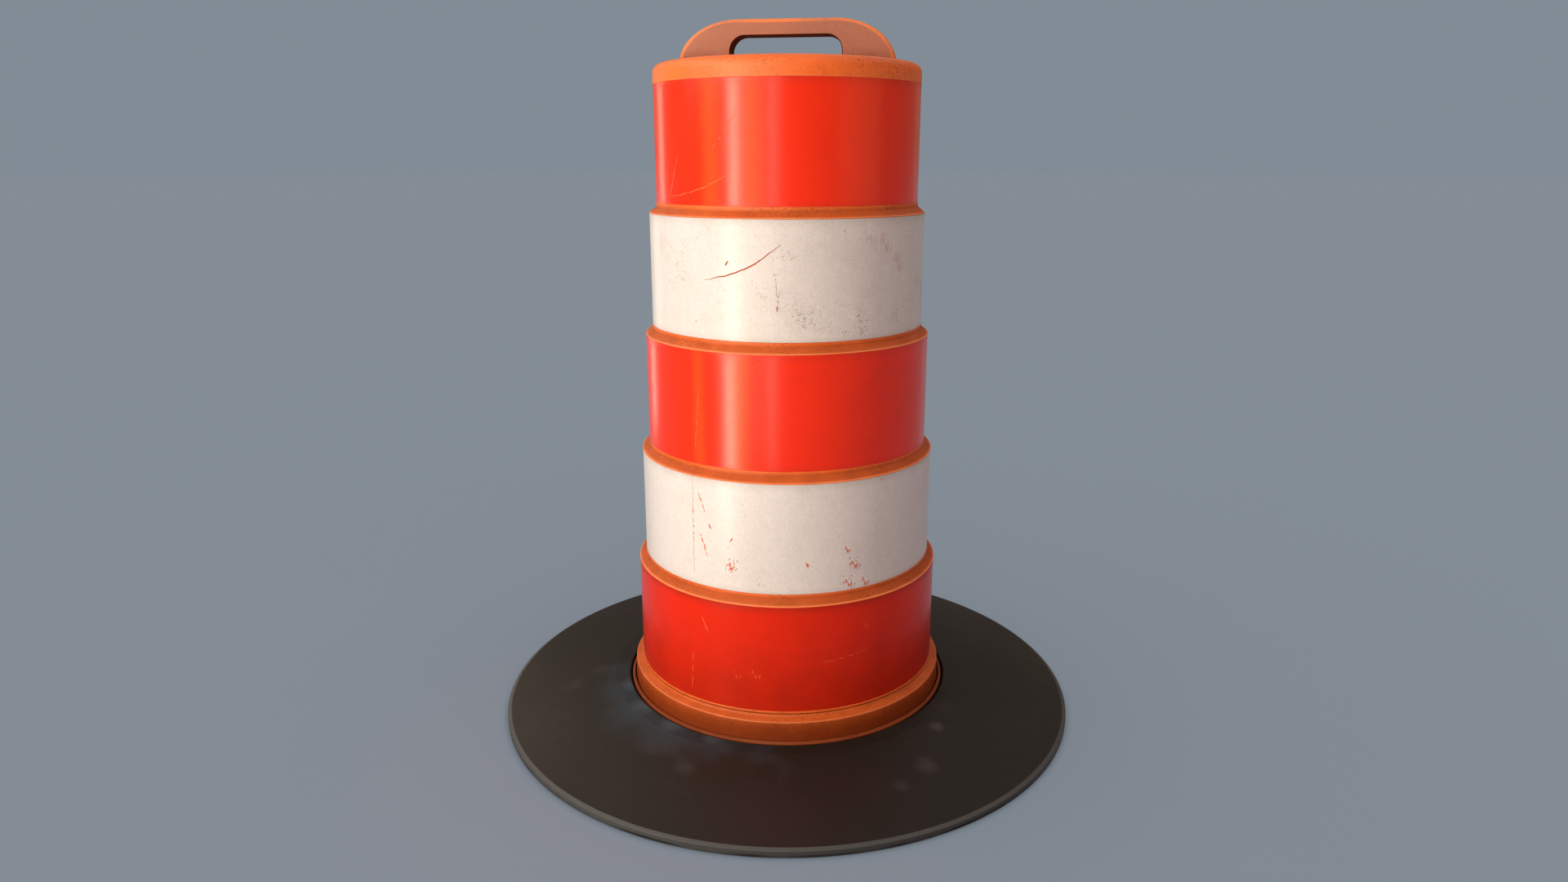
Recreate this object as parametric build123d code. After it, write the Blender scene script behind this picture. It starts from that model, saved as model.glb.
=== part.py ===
from build123d import *
from math import cos, degrees, radians, sin, tan
import os

# Traffic barrel drum on a break-away base, weighted by a ring cut from a tyre.
# Millimetres, +Z up. The origin is the middle of the base, on the road surface.
# X runs along the carry handle.

# Drum shell: five stacked sections, each one step wider than the one above it
sheeting_height = 152.4
lowest_sheeting_height = 75.7
top_section_radius = 180.6
section_growth = 10.0
section_count = 5
shell_wall = 3.2
shoulder_radius = 22.2
lip_height = 3.5
recess_depth = 0.9
step_ledge = 5.3
step_slope_height = 6.7
step_lip = 1.8
step_flare = 0.3
step_lip_round = 1.0
step_slope_inset = 2.3

# Foot of the drum
foot_strip = 6.9
foot_strip_flare = 1.8
foot_bevel_width = 8.8
foot_bevel_height = 3.3
foot_flare = 1.2

# Reflective sheeting
sheeting_thickness = 0.6
sheeting_margin = 0.25
lap_length = 25.0
lap_angle = 118.0

# Carry handle
handle_half_length = 146.0
handle_height = 58.0
handle_thickness = 32.0
handle_corner_run = 82.0
handle_edge_radius = 4.5
slot_half_width = 75.0
slot_height = 37.0
slot_corner_radius = 20.0
slot_edge_radius = 1.5
foot_bolt_inset = 18.0
foot_bolt_spacing = 30.0

# Handle fastenings
bolt_radius = 4.0
bolt_hole_radius = 4.5
bolt_grip_in_insert = 13.0
bolt_head_width = 13.0
bolt_head_height = 5.3
bolt_tip_chamfer = 0.8
washer_radius = 7.4
washer_thickness = 2.0
insert_radius = 6.0
insert_length = 15.0
insert_flange_radius = 8.0
insert_flange_height = 1.2
plate_width = 30.0
plate_thickness = 3.0
plate_margin = 14.0
plate_corner_radius = 5.0

# Base tray
tray_floor = 4.0
tray_wall = 3.0
skirt_clearance = 1.8
riser_height = 39.5
rim_width = 4.2
rim_drop = 2.6
rim_bead = 3.0
plug_wall_height = 52.0
plug_lead_in = 2.0
flange_radius = 300.0
centre_hole_radius = 150.0
curb_height = 12.0
key_count = 6
key_width = 9.0
key_height = 14.0
key_clearance = 1.0
drain_radius = 10.0
drain_circle_radius = 188.0

# Ballast ring
ring_radius = 424.7
ring_clearance = 2.0
ring_rim_height = 8.3
ring_chamfer_width = 4.6
ring_chamfer_height = 2.2
ring_bore_height = 38.0
ring_thickness = 16.0
ring_crown = 1.6
bead_width = 23.0
bead_corner_radius = 3.0
bead_wire_radius = 7.0
bead_wire_sides = 6
bead_wire_inset = 11.0

# Worked out from the sizes above
section_pitch = sheeting_height + step_ledge + step_slope_height + step_lip
first_band_top = lowest_sheeting_height + sheeting_height + section_pitch * (section_count - 1)
shoulder_end = first_band_top + lip_height
deck_height = shoulder_end + shoulder_radius
last_radius = top_section_radius + section_growth * (section_count - 1)
bevel_top = lowest_sheeting_height - foot_strip
bevel_bottom = bevel_top - foot_bevel_height
skirt_top_radius = last_radius + foot_strip_flare + foot_bevel_width
skirt_radius = skirt_top_radius + foot_flare
skirt_bottom = tray_floor
riser_inner = skirt_radius + skirt_clearance
riser_outer = riser_inner + tray_wall
rim_outer = riser_inner + rim_width
plug_outer = skirt_radius - shell_wall - skirt_clearance
plug_inner = plug_outer - tray_wall
bore_radius = rim_outer + ring_clearance
bead_toe = bore_radius + bead_width
ring_chamfer_radius = ring_radius - ring_chamfer_width
ring_edge_top = ring_rim_height + ring_chamfer_height
plate_top = deck_height - shell_wall
plate_bottom = plate_top - plate_thickness
washer_bottom = plate_bottom - washer_thickness
bolt_places = [
    side * (slot_half_width + foot_bolt_inset + row * foot_bolt_spacing)
    for side in (-1, 1)
    for row in (0, 1)
]


def section_radius(number):
    return top_section_radius + section_growth * number


def band_top(number):
    return first_band_top - section_pitch * number


def turned(outline):
    """A closed outline of (radius, height) points, turned about the drum's axis."""
    wire = Polyline(*[(radius, 0, height) for radius, height in outline], close=True)
    return revolve(make_face(wire), Axis.Z, 360)


def disc(radius, low, height):
    return Pos(0, 0, low) * Cylinder(radius, height, align=(Align.CENTER, Align.CENTER, Align.MIN))


def block(centre_x, centre_y, low, size_x, size_y, height):
    box = Box(size_x, size_y, height, align=(Align.CENTER, Align.CENTER, Align.MIN))
    return Pos(centre_x, centre_y, low) * box


def outer_outline():
    """The drum's outside, from the shoulder's lower end to the bottom edge."""
    points = [(top_section_radius, shoulder_end)]
    for number in range(section_count):
        radius = section_radius(number)
        top = band_top(number)
        bottom = top - sheeting_height
        points += [(radius, top), (radius - recess_depth, top)]
        points += [(radius - recess_depth, bottom), (radius, bottom)]
        if number < section_count - 1:
            ledge = bottom - step_ledge
            foot = ledge - step_slope_height
            next_radius = section_radius(number + 1)
            points += [(radius + step_flare, ledge), (next_radius - step_slope_inset, foot)]
            points += [(next_radius, foot - step_lip_round)]
    points += [(last_radius + foot_strip_flare, bevel_top), (skirt_top_radius, bevel_bottom)]
    points += [(skirt_radius, riser_height), (skirt_radius, skirt_bottom)]
    return points


def inner_outline():
    """The drum's inside, from the bottom edge up to the deck, one wall in from the outside."""
    drop = shell_wall * tan(radians(22.5))
    points = [(skirt_radius - shell_wall, skirt_bottom), (skirt_radius - shell_wall, riser_height)]
    points += [(skirt_top_radius - shell_wall, bevel_bottom - shell_wall)]
    points += [(last_radius - shell_wall, bevel_top - drop)]
    for number in reversed(range(section_count - 1)):
        ledge = band_top(number) - sheeting_height - step_ledge
        foot = ledge - step_slope_height
        points += [(section_radius(number + 1) - shell_wall, foot - drop)]
        points += [(section_radius(number) - shell_wall, ledge - drop)]
    points += [(top_section_radius - shell_wall, shoulder_end)]
    return points


def key_notches(width, height, low, reach):
    """Radial blocks at the drum's bottom edge, one at each key."""
    middle = skirt_radius - shell_wall / 2
    notch = block(middle, 0, low, reach, width, height)
    return [Rot(0, 0, 360 / key_count * turn) * notch for turn in range(key_count)]


def drum_shell():
    outside = outer_outline()
    inside = inner_outline()
    arc_middle = shoulder_radius * cos(radians(45))
    inner_bend = shoulder_radius - shell_wall
    inner_middle = inner_bend * cos(radians(45))
    flat = top_section_radius - shoulder_radius
    deck = [
        Line((0, 0, deck_height - shell_wall), (0, 0, deck_height)),
        Line((0, 0, deck_height), (flat, 0, deck_height)),
        ThreePointArc(
            (flat, 0, deck_height),
            (flat + arc_middle, 0, shoulder_end + arc_middle),
            (top_section_radius, 0, shoulder_end),
        ),
    ]
    side = Polyline(*[(radius, 0, height) for radius, height in outside])
    bottom = Line((outside[-1][0], 0, outside[-1][1]), (inside[0][0], 0, inside[0][1]))
    back = Polyline(*[(radius, 0, height) for radius, height in inside])
    ceiling = [
        ThreePointArc(
            (flat + inner_bend, 0, shoulder_end),
            (flat + inner_middle, 0, shoulder_end + inner_middle),
            (flat, 0, deck_height - shell_wall),
        ),
        Line((flat, 0, deck_height - shell_wall), (0, 0, deck_height - shell_wall)),
    ]
    outline = Wire(deck + side.edges() + [bottom] + back.edges() + ceiling)
    shell = revolve(Face(outline), Axis.Z, 360)
    for notch in key_notches(
        key_width + 2 * key_clearance, key_height + key_clearance, skirt_bottom, shell_wall * 3
    ):
        shell -= notch
    for place in bolt_places:
        shell -= Pos(place, 0, 0) * disc(bolt_hole_radius, plate_top - 1, shell_wall + 2)
    return shell


def sheeting_band(number):
    """One strip of sheeting in its recess, with the lap where its ends meet."""
    inner = section_radius(number) - recess_depth
    low = band_top(number) - sheeting_height + sheeting_margin
    high = band_top(number) - sheeting_margin
    outer = inner + sheeting_thickness
    strip = turned([(inner, low), (outer, low), (outer, high), (inner, high)])
    lap_sweep = degrees(lap_length / outer)
    lap_outer = outer + sheeting_thickness
    lap_wire = Polyline(
        (outer - 0.1, 0, low), (lap_outer, 0, low), (lap_outer, 0, high), (outer - 0.1, 0, high),
        close=True,
    )
    lap = Rot(0, 0, lap_angle) * revolve(make_face(lap_wire), Axis.Z, lap_sweep)
    return strip + lap


def handle_outline():
    """Half ellipse corners on a flat top, standing on the deck."""
    run = handle_half_length - handle_corner_run
    right = EllipticalCenterArc(
        (run, 0), handle_corner_run, handle_height, start_angle=0, arc_size=90
    )
    left = EllipticalCenterArc(
        (-run, 0), handle_corner_run, handle_height, start_angle=90, arc_size=90
    )
    top = Line((run, handle_height), (-run, handle_height))
    base = Line((-handle_half_length, 0), (handle_half_length, 0))
    return Wire([right, top, left, base])


def carry_handle():
    """Arch plate with an open finger slot, and a blind hole in each foot for its inserts."""
    plate = extrude(Face(handle_outline()), handle_thickness / 2, both=True)
    above_deck = [edge for edge in plate.edges() if edge.center().Z != 0 and edge.center().Y > 1]
    plate = fillet(above_deck, handle_edge_radius)
    slot = Rectangle(2 * slot_half_width, 2 * slot_height)
    slot = fillet(slot.vertices(), slot_corner_radius)
    plate -= extrude(slot, handle_thickness, both=True)
    rims = [
        edge for edge in plate.edges()
        if abs(abs(edge.center().Z) - handle_thickness / 2) < 0.01
        and 1 < edge.center().Y < slot_height + 1
        and abs(edge.center().X) < slot_half_width + 1
    ]
    plate = fillet(rims, slot_edge_radius)
    plate = Pos(0, 0, deck_height) * (Rot(90, 0, 0) * plate)
    for place in bolt_places:
        plate -= Pos(place, 0, 0) * disc(insert_radius, deck_height, insert_length)
        plate -= Pos(place, 0, 0) * disc(insert_flange_radius, deck_height, insert_flange_height)
    return plate


def hexagon_bar(across_flats, low, height):
    bar = extrude(RegularPolygon(across_flats / 2, 6, major_radius=False), height)
    return Pos(0, 0, low) * bar


def handle_bolts():
    """Hexagon bolts, put in from inside the drum."""
    head_low = washer_bottom - bolt_head_height
    tip = deck_height + bolt_grip_in_insert
    head = hexagon_bar(bolt_head_width, head_low, bolt_head_height)
    shank = disc(bolt_radius, washer_bottom, tip - washer_bottom)
    shank = chamfer(shank.edges().sort_by(Axis.Z)[-1], bolt_tip_chamfer)
    bolt = head + shank
    return Compound([Pos(place, 0, 0) * bolt for place in bolt_places])


def handle_washers():
    washer = disc(washer_radius, washer_bottom, washer_thickness)
    washer -= disc(bolt_radius + 0.2, washer_bottom - 1, washer_thickness + 2)
    return Compound([Pos(place, 0, 0) * washer for place in bolt_places])


def handle_inserts():
    """Threaded bushes moulded into the handle's feet, flush with the deck."""
    bush = disc(insert_radius, deck_height, insert_length)
    bush += disc(insert_flange_radius, deck_height, insert_flange_height)
    bush -= disc(bolt_radius + 0.02, deck_height - 1, insert_length)
    return Compound([Pos(place, 0, 0) * bush for place in bolt_places])


def backing_plates():
    """Two plates under the deck that spread the handle's pull."""
    length = foot_bolt_spacing + 2 * plate_margin
    middle = slot_half_width + foot_bolt_inset + foot_bolt_spacing / 2
    outline = fillet(Rectangle(length, plate_width).vertices(), plate_corner_radius)
    plates = []
    for side in (-1, 1):
        plate = Pos(side * middle, 0, plate_bottom) * extrude(outline, plate_thickness)
        for place in bolt_places:
            plate -= Pos(place, 0, 0) * disc(bolt_hole_radius, plate_bottom - 1, plate_thickness + 2)
        plates.append(plate)
    return Compound(plates)


def base_tray():
    """Flange under the ring, riser round the drum's foot, plug wall inside it, keys across."""
    rim_low = riser_height - rim_drop - rim_bead
    tray = turned([
        (centre_hole_radius, 0),
        (flange_radius, 0),
        (flange_radius, tray_floor),
        (riser_outer, tray_floor),
        (riser_outer, rim_low),
        (rim_outer, rim_low),
        (rim_outer, riser_height - rim_drop),
        (riser_inner + 1.0, riser_height),
        (riser_inner, riser_height),
        (riser_inner, tray_floor),
        (plug_outer, tray_floor),
        (plug_outer, plug_wall_height - plug_lead_in),
        (plug_outer - plug_lead_in / 2, plug_wall_height),
        (plug_inner, plug_wall_height),
        (plug_inner, tray_floor),
        (centre_hole_radius + tray_wall, tray_floor),
        (centre_hole_radius + tray_wall, curb_height),
        (centre_hole_radius, curb_height),
    ])
    key_low = tray_floor / 2
    key = block((plug_outer + riser_inner) / 2, 0, key_low, riser_inner - plug_outer + tray_wall,
                key_width, tray_floor + key_height - key_low)
    for turn in range(key_count):
        tray += Rot(0, 0, 360 / key_count * turn) * key
    for turn in range(key_count):
        angle = radians(360 / key_count * (turn + 0.5))
        place = (drain_circle_radius * cos(angle), drain_circle_radius * sin(angle), 0)
        tray -= Pos(*place) * disc(drain_radius, -1, tray_floor + 2)
    return tray


def ring_top_height(radius):
    """Height of the ring's crowned top at a radius."""
    share = (ring_chamfer_radius - radius) / (ring_chamfer_radius - bead_toe)
    rise = ring_bore_height - ring_edge_top
    return ring_edge_top + rise * share + 4 * ring_crown * share * (1 - share)


def bead_wire_centre():
    return (bore_radius + bead_wire_inset, tray_floor + bead_wire_inset + 4.5)


def bead_wire_outline():
    centre_radius, centre_height = bead_wire_centre()
    step = 360 / bead_wire_sides
    return [
        (centre_radius + bead_wire_radius * cos(radians(step * turn)),
         centre_height + bead_wire_radius * sin(radians(step * turn)))
        for turn in range(bead_wire_sides)
    ]


def ballast_ring():
    """Sidewall cut from a tyre: thick bead at the bore, thinner towards its cut rim."""
    middle = (ring_chamfer_radius + bead_toe) / 2
    inner_rest = ring_chamfer_radius - 34.0
    hollow_start = bead_toe + 12.0
    low_middle = (inner_rest + hollow_start) / 2
    corner = bead_corner_radius
    edges = [
        Line((bore_radius + corner, 0, tray_floor), (bead_toe - corner, 0, tray_floor)),
        Line((bead_toe - corner, 0, tray_floor), (bead_toe, 0, tray_floor + corner)),
        Line((bead_toe, 0, tray_floor + corner),
             (hollow_start, 0, ring_top_height(hollow_start) - ring_thickness)),
        ThreePointArc(
            (hollow_start, 0, ring_top_height(hollow_start) - ring_thickness),
            (low_middle, 0, ring_top_height(low_middle) - ring_thickness),
            (inner_rest, 0, 0.0),
        ),
        Line((inner_rest, 0, 0), (ring_radius - 1.0, 0, 0)),
        Line((ring_radius - 1.0, 0, 0), (ring_radius, 0, 1.0)),
        Line((ring_radius, 0, 1.0), (ring_radius, 0, ring_rim_height)),
        Line((ring_radius, 0, ring_rim_height), (ring_chamfer_radius, 0, ring_edge_top)),
        ThreePointArc(
            (ring_chamfer_radius, 0, ring_edge_top),
            (middle, 0, ring_top_height(middle)),
            (bead_toe, 0, ring_bore_height),
        ),
        Line((bead_toe, 0, ring_bore_height), (bore_radius + corner, 0, ring_bore_height)),
        ThreePointArc(
            (bore_radius + corner, 0, ring_bore_height),
            (bore_radius + corner * (1 - sin(radians(45))), 0,
             ring_bore_height - corner * (1 - sin(radians(45)))),
            (bore_radius, 0, ring_bore_height - corner),
        ),
        Line((bore_radius, 0, ring_bore_height - corner), (bore_radius, 0, tray_floor + corner)),
        Line((bore_radius, 0, tray_floor + corner), (bore_radius + corner, 0, tray_floor)),
    ]
    ring = revolve(Face(Wire(edges)), Axis.Z, 360)
    return ring - turned(bead_wire_outline())


def bead_wire():
    """Bundle of steel wire inside the bead."""
    return turned(bead_wire_outline())


def write(name, shape):
    shape.label = name
    export_step(shape, "parts/" + name + ".step")
    print(name, len(shape.solids()), "solid(s)")


def main():
    os.makedirs("parts", exist_ok=True)
    write("drum_shell", drum_shell())
    band_names = ("top_orange", "upper_white", "middle_orange", "lower_white", "bottom_orange")
    for number in range(section_count):
        write("sheeting_" + band_names[number], sheeting_band(number))
    write("carry_handle", carry_handle())
    write("handle_bolts", handle_bolts())
    write("handle_washers", handle_washers())
    write("handle_inserts", handle_inserts())
    write("handle_backing_plates", backing_plates())
    write("base_tray", base_tray())
    write("ballast_ring", ballast_ring())
    write("bead_wire", bead_wire())


if __name__ == "__main__":
    main()
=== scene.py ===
"""Looks of a traffic barrel drum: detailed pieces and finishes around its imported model."""

import logging
import math
from dataclasses import dataclass, field
from enum import Enum
from typing import Callable, Iterable, Sequence

import bpy
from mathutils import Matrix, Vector, noise


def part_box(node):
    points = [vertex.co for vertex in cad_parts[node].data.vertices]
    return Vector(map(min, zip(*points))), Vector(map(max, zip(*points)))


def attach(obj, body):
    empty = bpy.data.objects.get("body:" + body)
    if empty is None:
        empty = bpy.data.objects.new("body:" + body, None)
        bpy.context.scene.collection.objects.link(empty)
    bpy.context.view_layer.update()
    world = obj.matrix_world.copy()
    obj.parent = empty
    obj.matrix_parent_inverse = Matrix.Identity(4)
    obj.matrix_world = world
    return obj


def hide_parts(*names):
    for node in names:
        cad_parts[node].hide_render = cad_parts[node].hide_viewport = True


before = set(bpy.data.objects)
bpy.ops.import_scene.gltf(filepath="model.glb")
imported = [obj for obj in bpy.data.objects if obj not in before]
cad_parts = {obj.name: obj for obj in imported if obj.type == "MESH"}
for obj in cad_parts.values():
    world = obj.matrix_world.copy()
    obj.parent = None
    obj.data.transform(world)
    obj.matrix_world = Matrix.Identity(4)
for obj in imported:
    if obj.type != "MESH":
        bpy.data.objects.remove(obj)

LOG = logging.getLogger("barrel_drum")
MM = 0.001

# names of the values that every mesh keeps for its finish
SKIN = "skin"
WEAR_AND_HIGHLIGHT = "wear_and_highlight"
SHADE_AND_GRIME = "grime"

# segments of a turned piece, a multiple of twice the notches in the shell's foot
AROUND = 264

# millimetres that more than one piece uses
SHELL_WALL = 3.2
SHELL_WAVES = 0.16
SHEETING_THICKNESS = 0.6

# waviness of a moulded wall: waves round it, millimetres of height for one, and the pattern's seed
WAVES_AROUND, WAVE_HEIGHT, WAVE_SEED = 2.2, 70, 4.0

Piece = bpy.types.Object
Material = bpy.types.Material
Tree = bpy.types.NodeTree
Node = bpy.types.Node
Socket = bpy.types.NodeSocket
Rgb = tuple[float, float, float]
Place = tuple[float, float, float]
Spot = tuple[float, float]
Station = tuple[float, float, float, float]
Warp = Callable[[float, float], float]


def linear(red: int, green: int, blue: int) -> Rgb:
    """Turns an sRGB colour into the linear one that shaders use.

    Args:
        red: red, 0 to 255.
        green: green, 0 to 255.
        blue: blue, 0 to 255.

    Returns:
        The three linear parts, 0 to 1.
    """
    parts = [part / 255 for part in (red, green, blue)]
    return tuple(p / 12.92 if p <= 0.04045 else ((p + 0.055) / 1.055) ** 2.4 for p in parts)


# ---------------------------------------------------------------- outlines and meshes


@dataclass(frozen=True)
class Corner:
    """A corner of a turned outline, in millimetres, with its rounding and its state."""

    radius: float
    height: float
    bend: float = 0.0
    wear_and_highlight: float = 0.0
    grime: float = 0.0

    @property
    def point(self) -> Vector:
        """The corner as a flat vector."""
        return Vector((self.radius, self.height))


@dataclass(frozen=True)
class Outline:
    """A run of corners, rounded and divided into stations ready to be turned."""

    corners: Sequence[Corner]
    closed: bool = True
    pitch: float = 7.0
    edge_band_reach: float = 1.3
    edge_band_run: float = 4.5

    def _arc(self, number: int) -> list[Station]:
        """Rounds one corner.

        Args:
            number: the corner's place in the run.

        Returns:
            The stations from where the rounding starts to where it ends.
        """
        here = self.corners[number]
        count = len(self.corners)
        ends = number in (0, count - 1) and not self.closed
        if ends or here.bend <= 0:
            return [(here.radius, here.height, here.wear_and_highlight, here.grime)]
        before = self.corners[number - 1].point - here.point
        after = self.corners[(number + 1) % count].point - here.point
        back, on = before.normalized(), after.normalized()
        angle = max(back.angle(on), 0.05)
        turn = math.pi - angle
        if turn < 0.02:
            return [(here.radius, here.height, here.wear_and_highlight, here.grime)]
        room = 0.46 * min(before.length, after.length)
        run = min(here.bend / math.tan(angle / 2), room)
        bend = run * math.tan(angle / 2)
        centre = here.point + (back + on).normalized() * (bend / math.sin(angle / 2))
        start, end = here.point + back * run - centre, here.point + on * run - centre
        sweep = start.angle_signed(end)
        steps = max(2, math.ceil(turn / math.radians(18)))
        stations = []
        for step in range(steps + 1):
            share = -sweep * step / steps
            cosine, sine = math.cos(share), math.sin(share)
            x = centre.x + start.x * cosine - start.y * sine
            y = centre.y + start.x * sine + start.y * cosine
            stations.append((x, y, here.wear_and_highlight, here.grime))
        return stations

    def stations(self) -> list[Station]:
        """Works out every station of the outline.

        Returns:
            Radius and height in millimetres, then edge wear with painted highlight and dirt with painted
            shade, from 0 to 1.
        """
        arcs = [self._arc(number) for number in range(len(self.corners))]
        result: list[Station] = []
        pairs = len(arcs) if self.closed else len(arcs) - 1
        for number in range(len(arcs)):
            result += arcs[number]
            if number >= pairs:
                continue
            first, last = arcs[number][-1], arcs[(number + 1) % len(arcs)][0]
            length = math.hypot(last[0] - first[0], last[1] - first[1])
            if length < 0.6:
                continue
            reach = min(self.edge_band_reach, length * 0.3)
            inner = [reach / length, 1 - reach / length]
            pieces = max(1, math.ceil((length - 2 * reach) / self.pitch))
            shares = [inner[0] + (inner[1] - inner[0]) * k / pieces for k in range(pieces + 1)]
            worn_and_lit = min(first[2], last[2]) if length < self.edge_band_run else 0.0
            for share in shares:
                radius = first[0] + (last[0] - first[0]) * share
                height = first[1] + (last[1] - first[1]) * share
                grime = first[3] + (last[3] - first[3]) * share
                result.append((radius, height, worn_and_lit, grime))
        return result


def as_object(
    name: str,
    points: Sequence[Sequence[float]],
    faces: Sequence[Sequence[int]],
    skins: Sequence[Sequence[Spot]],
    wear_and_highlight: Sequence[float],
    grime: Sequence[float],
) -> Piece:
    """Makes a smooth mesh object with its skin map, its edge wear with painted highlight, and its dirt with
    painted shade.

    Args:
        name: the object's name.
        points: vertex places in metres.
        faces: vertex numbers of each face.
        skins: one place on the skin, in metres, for each corner of each face.
        wear_and_highlight: edge wear and painted highlight of each vertex.
        grime: dirt and painted shade of each vertex.

    Returns:
        The new object, linked to the scene.
    """
    mesh = bpy.data.meshes.new(name)
    mesh.from_pydata([tuple(p) for p in points], [], [tuple(f) for f in faces])
    layer = mesh.uv_layers.new(name=SKIN)
    flat = [value for face in skins for place in face for value in place]
    layer.uv.foreach_set("vector", flat)
    for title, values in ((WEAR_AND_HIGHLIGHT, wear_and_highlight), (SHADE_AND_GRIME, grime)):
        attribute = mesh.attributes.new(title, "FLOAT", "POINT")
        attribute.data.foreach_set("value", list(values))
    mesh.update()
    mesh.shade_smooth()
    mesh.set_sharp_from_angle(angle=math.radians(32))
    piece = bpy.data.objects.new(name, mesh)
    bpy.context.scene.collection.objects.link(piece)
    return piece


@dataclass(frozen=True)
class Notches:
    """Notches in a turned wall's lower edge, each two segments wide."""

    count: int
    top: float

    def holds(self, segment: int, around: int) -> bool:
        """Tells whether a segment lies in a notch."""
        pitch = around // self.count
        return segment % pitch in (0, pitch - 1)


@dataclass
class Turned:
    """A piece turned about the drum's axis."""

    name: str
    outline: Outline
    around: int = AROUND
    warp: Warp | None = None
    notches: Notches | None = None

    def _rows(self, stations: Sequence[Station]) -> list[float]:
        """Gives each station's distance along the outline.

        Args:
            stations: the outline's stations.

        Returns:
            Distances in millimetres, with one more for the closing run.
        """
        along = [0.0]
        loop = list(stations) + [stations[0]]
        for here, on in zip(loop, loop[1:]):
            along.append(along[-1] + math.hypot(on[0] - here[0], on[1] - here[1]))
        return along

    def _points(self, stations: Sequence[Station]) -> tuple[list[Place], list[float], list[float], list[int]]:
        """Gives the turned vertices.

        Args:
            stations: the outline's stations.

        Returns:
            Places in metres, edge wear with painted highlight, dirt with painted shade, and the first vertex
            of each station.
        """
        points, wear_and_highlight, grime, first = [], [], [], []
        for radius, height, worn_and_lit, dirt_and_shade in stations:
            first.append(len(points))
            turns = 1 if radius < 0.01 else self.around
            for turn in range(turns):
                angle = 2 * math.pi * turn / self.around
                shift = self.warp(angle, height) if self.warp and radius > 1 else 0.0
                reach = (radius + shift) * MM
                points.append((reach * math.cos(angle), reach * math.sin(angle), height * MM))
                wear_and_highlight.append(worn_and_lit)
                grime.append(dirt_and_shade)
        return points, wear_and_highlight, grime, first

    def _sides(
        self, stations: Sequence[Station], first: Sequence[int]
    ) -> tuple[list[list[int]], list[list[Spot]]]:
        """Gives the turned faces, with quads all round and fans at the axis.

        Args:
            stations: the outline's stations.
            first: the first vertex of each station.

        Returns:
            Vertex numbers and skin places of each face.
        """
        faces, skins = [], []
        along = self._rows(stations)
        count = len(stations)
        reach = max(station[0] for station in stations) * MM
        rows = count if self.outline.closed else count - 1
        cut = self._cut_rows(stations)
        for row in range(rows):
            after = (row + 1) % count
            for turn in range(self.around):
                if row in cut and self.notches.holds(turn, self.around):
                    continue
                corners = []
                for line, step in ((row, turn), (row, turn + 1), (after, turn + 1), (after, turn)):
                    pole = stations[line][0] < 0.01
                    number = first[line] + (0 if pole else step % self.around)
                    distance = along[row] if line == row else along[row + 1]
                    u = 2 * math.pi * step / self.around * reach
                    if number not in [corner[0] for corner in corners]:
                        corners.append((number, (u, distance * MM)))
                faces.append([corner[0] for corner in reversed(corners)])
                skins.append([corner[1] for corner in reversed(corners)])
        return faces, skins

    def build(self) -> Piece:
        """Turns the outline.

        Returns:
            The turned object.
        """
        stations = self.outline.stations()
        points, wear_and_highlight, grime, first = self._points(stations)
        faces, skins = self._sides(stations, first)
        if self.notches:
            self._close_notches(stations, first, faces, skins)
        return as_object(self.name, points, faces, skins, wear_and_highlight, grime)

    def _cut_rows(self, stations: Sequence[Station]) -> set[int]:
        """Finds the rows that the notches remove.

        Args:
            stations: the outline's stations.

        Returns:
            The numbers of the rows that lie below the notches' top.
        """
        if not self.notches:
            return set()
        top = self.notches.top + 0.01
        low = [number for number, station in enumerate(stations) if station[1] < top]
        return set(low[:-1])

    def _close_notches(
        self,
        stations: Sequence[Station],
        first: Sequence[int],
        faces: list[list[int]],
        skins: list[list[Spot]],
    ) -> None:
        """Adds the side walls and the roof of every notch.

        Args:
            stations: the outline's stations.
            first: the first vertex of each station.
            faces: the faces so far, which grow.
            skins: the skin places so far, which grow.
        """
        rows = sorted(self._cut_rows(stations))
        low = rows + [rows[-1] + 1]
        pitch = self.around // self.notches.count
        for notch in range(self.notches.count):
            left, middle, right = (notch * pitch + step for step in (-1, 0, 1))
            for turn, flip in ((left, False), (right, True)):
                loop = [first[row] + turn % self.around for row in low]
                faces.append(loop[::-1] if flip else loop)
                skins.append([(0.0, 0.0)] * len(loop))
            for turn in (left, middle):
                here, on = turn % self.around, (turn + 1) % self.around
                roof = [first[low[0]] + here, first[low[0]] + on]
                roof += [first[low[-1]] + on, first[low[-1]] + here]
                faces.append(roof)
                skins.append([(0.0, 0.0)] * 4)


def swept_faces(rows: int, count: int, flip: bool) -> list[list[int]]:
    """Gives the faces of a closed section that is swept along and capped at both ends.

    Args:
        rows: how many times the section stands along the sweep.
        count: how many points the section has.
        flip: turns every face over.

    Returns:
        Vertex numbers of each face: the sides, then the two caps.
    """
    faces = []
    for row in range(rows - 1):
        for point in range(count):
            after = (point + 1) % count
            loop = [row * count + point, row * count + after]
            faces.append(loop + [(row + 1) * count + after, (row + 1) * count + point])
    faces.append([point for point in reversed(range(count))])
    faces.append([(rows - 1) * count + point for point in range(count)])
    return [face[::-1] if flip else face for face in faces]


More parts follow.
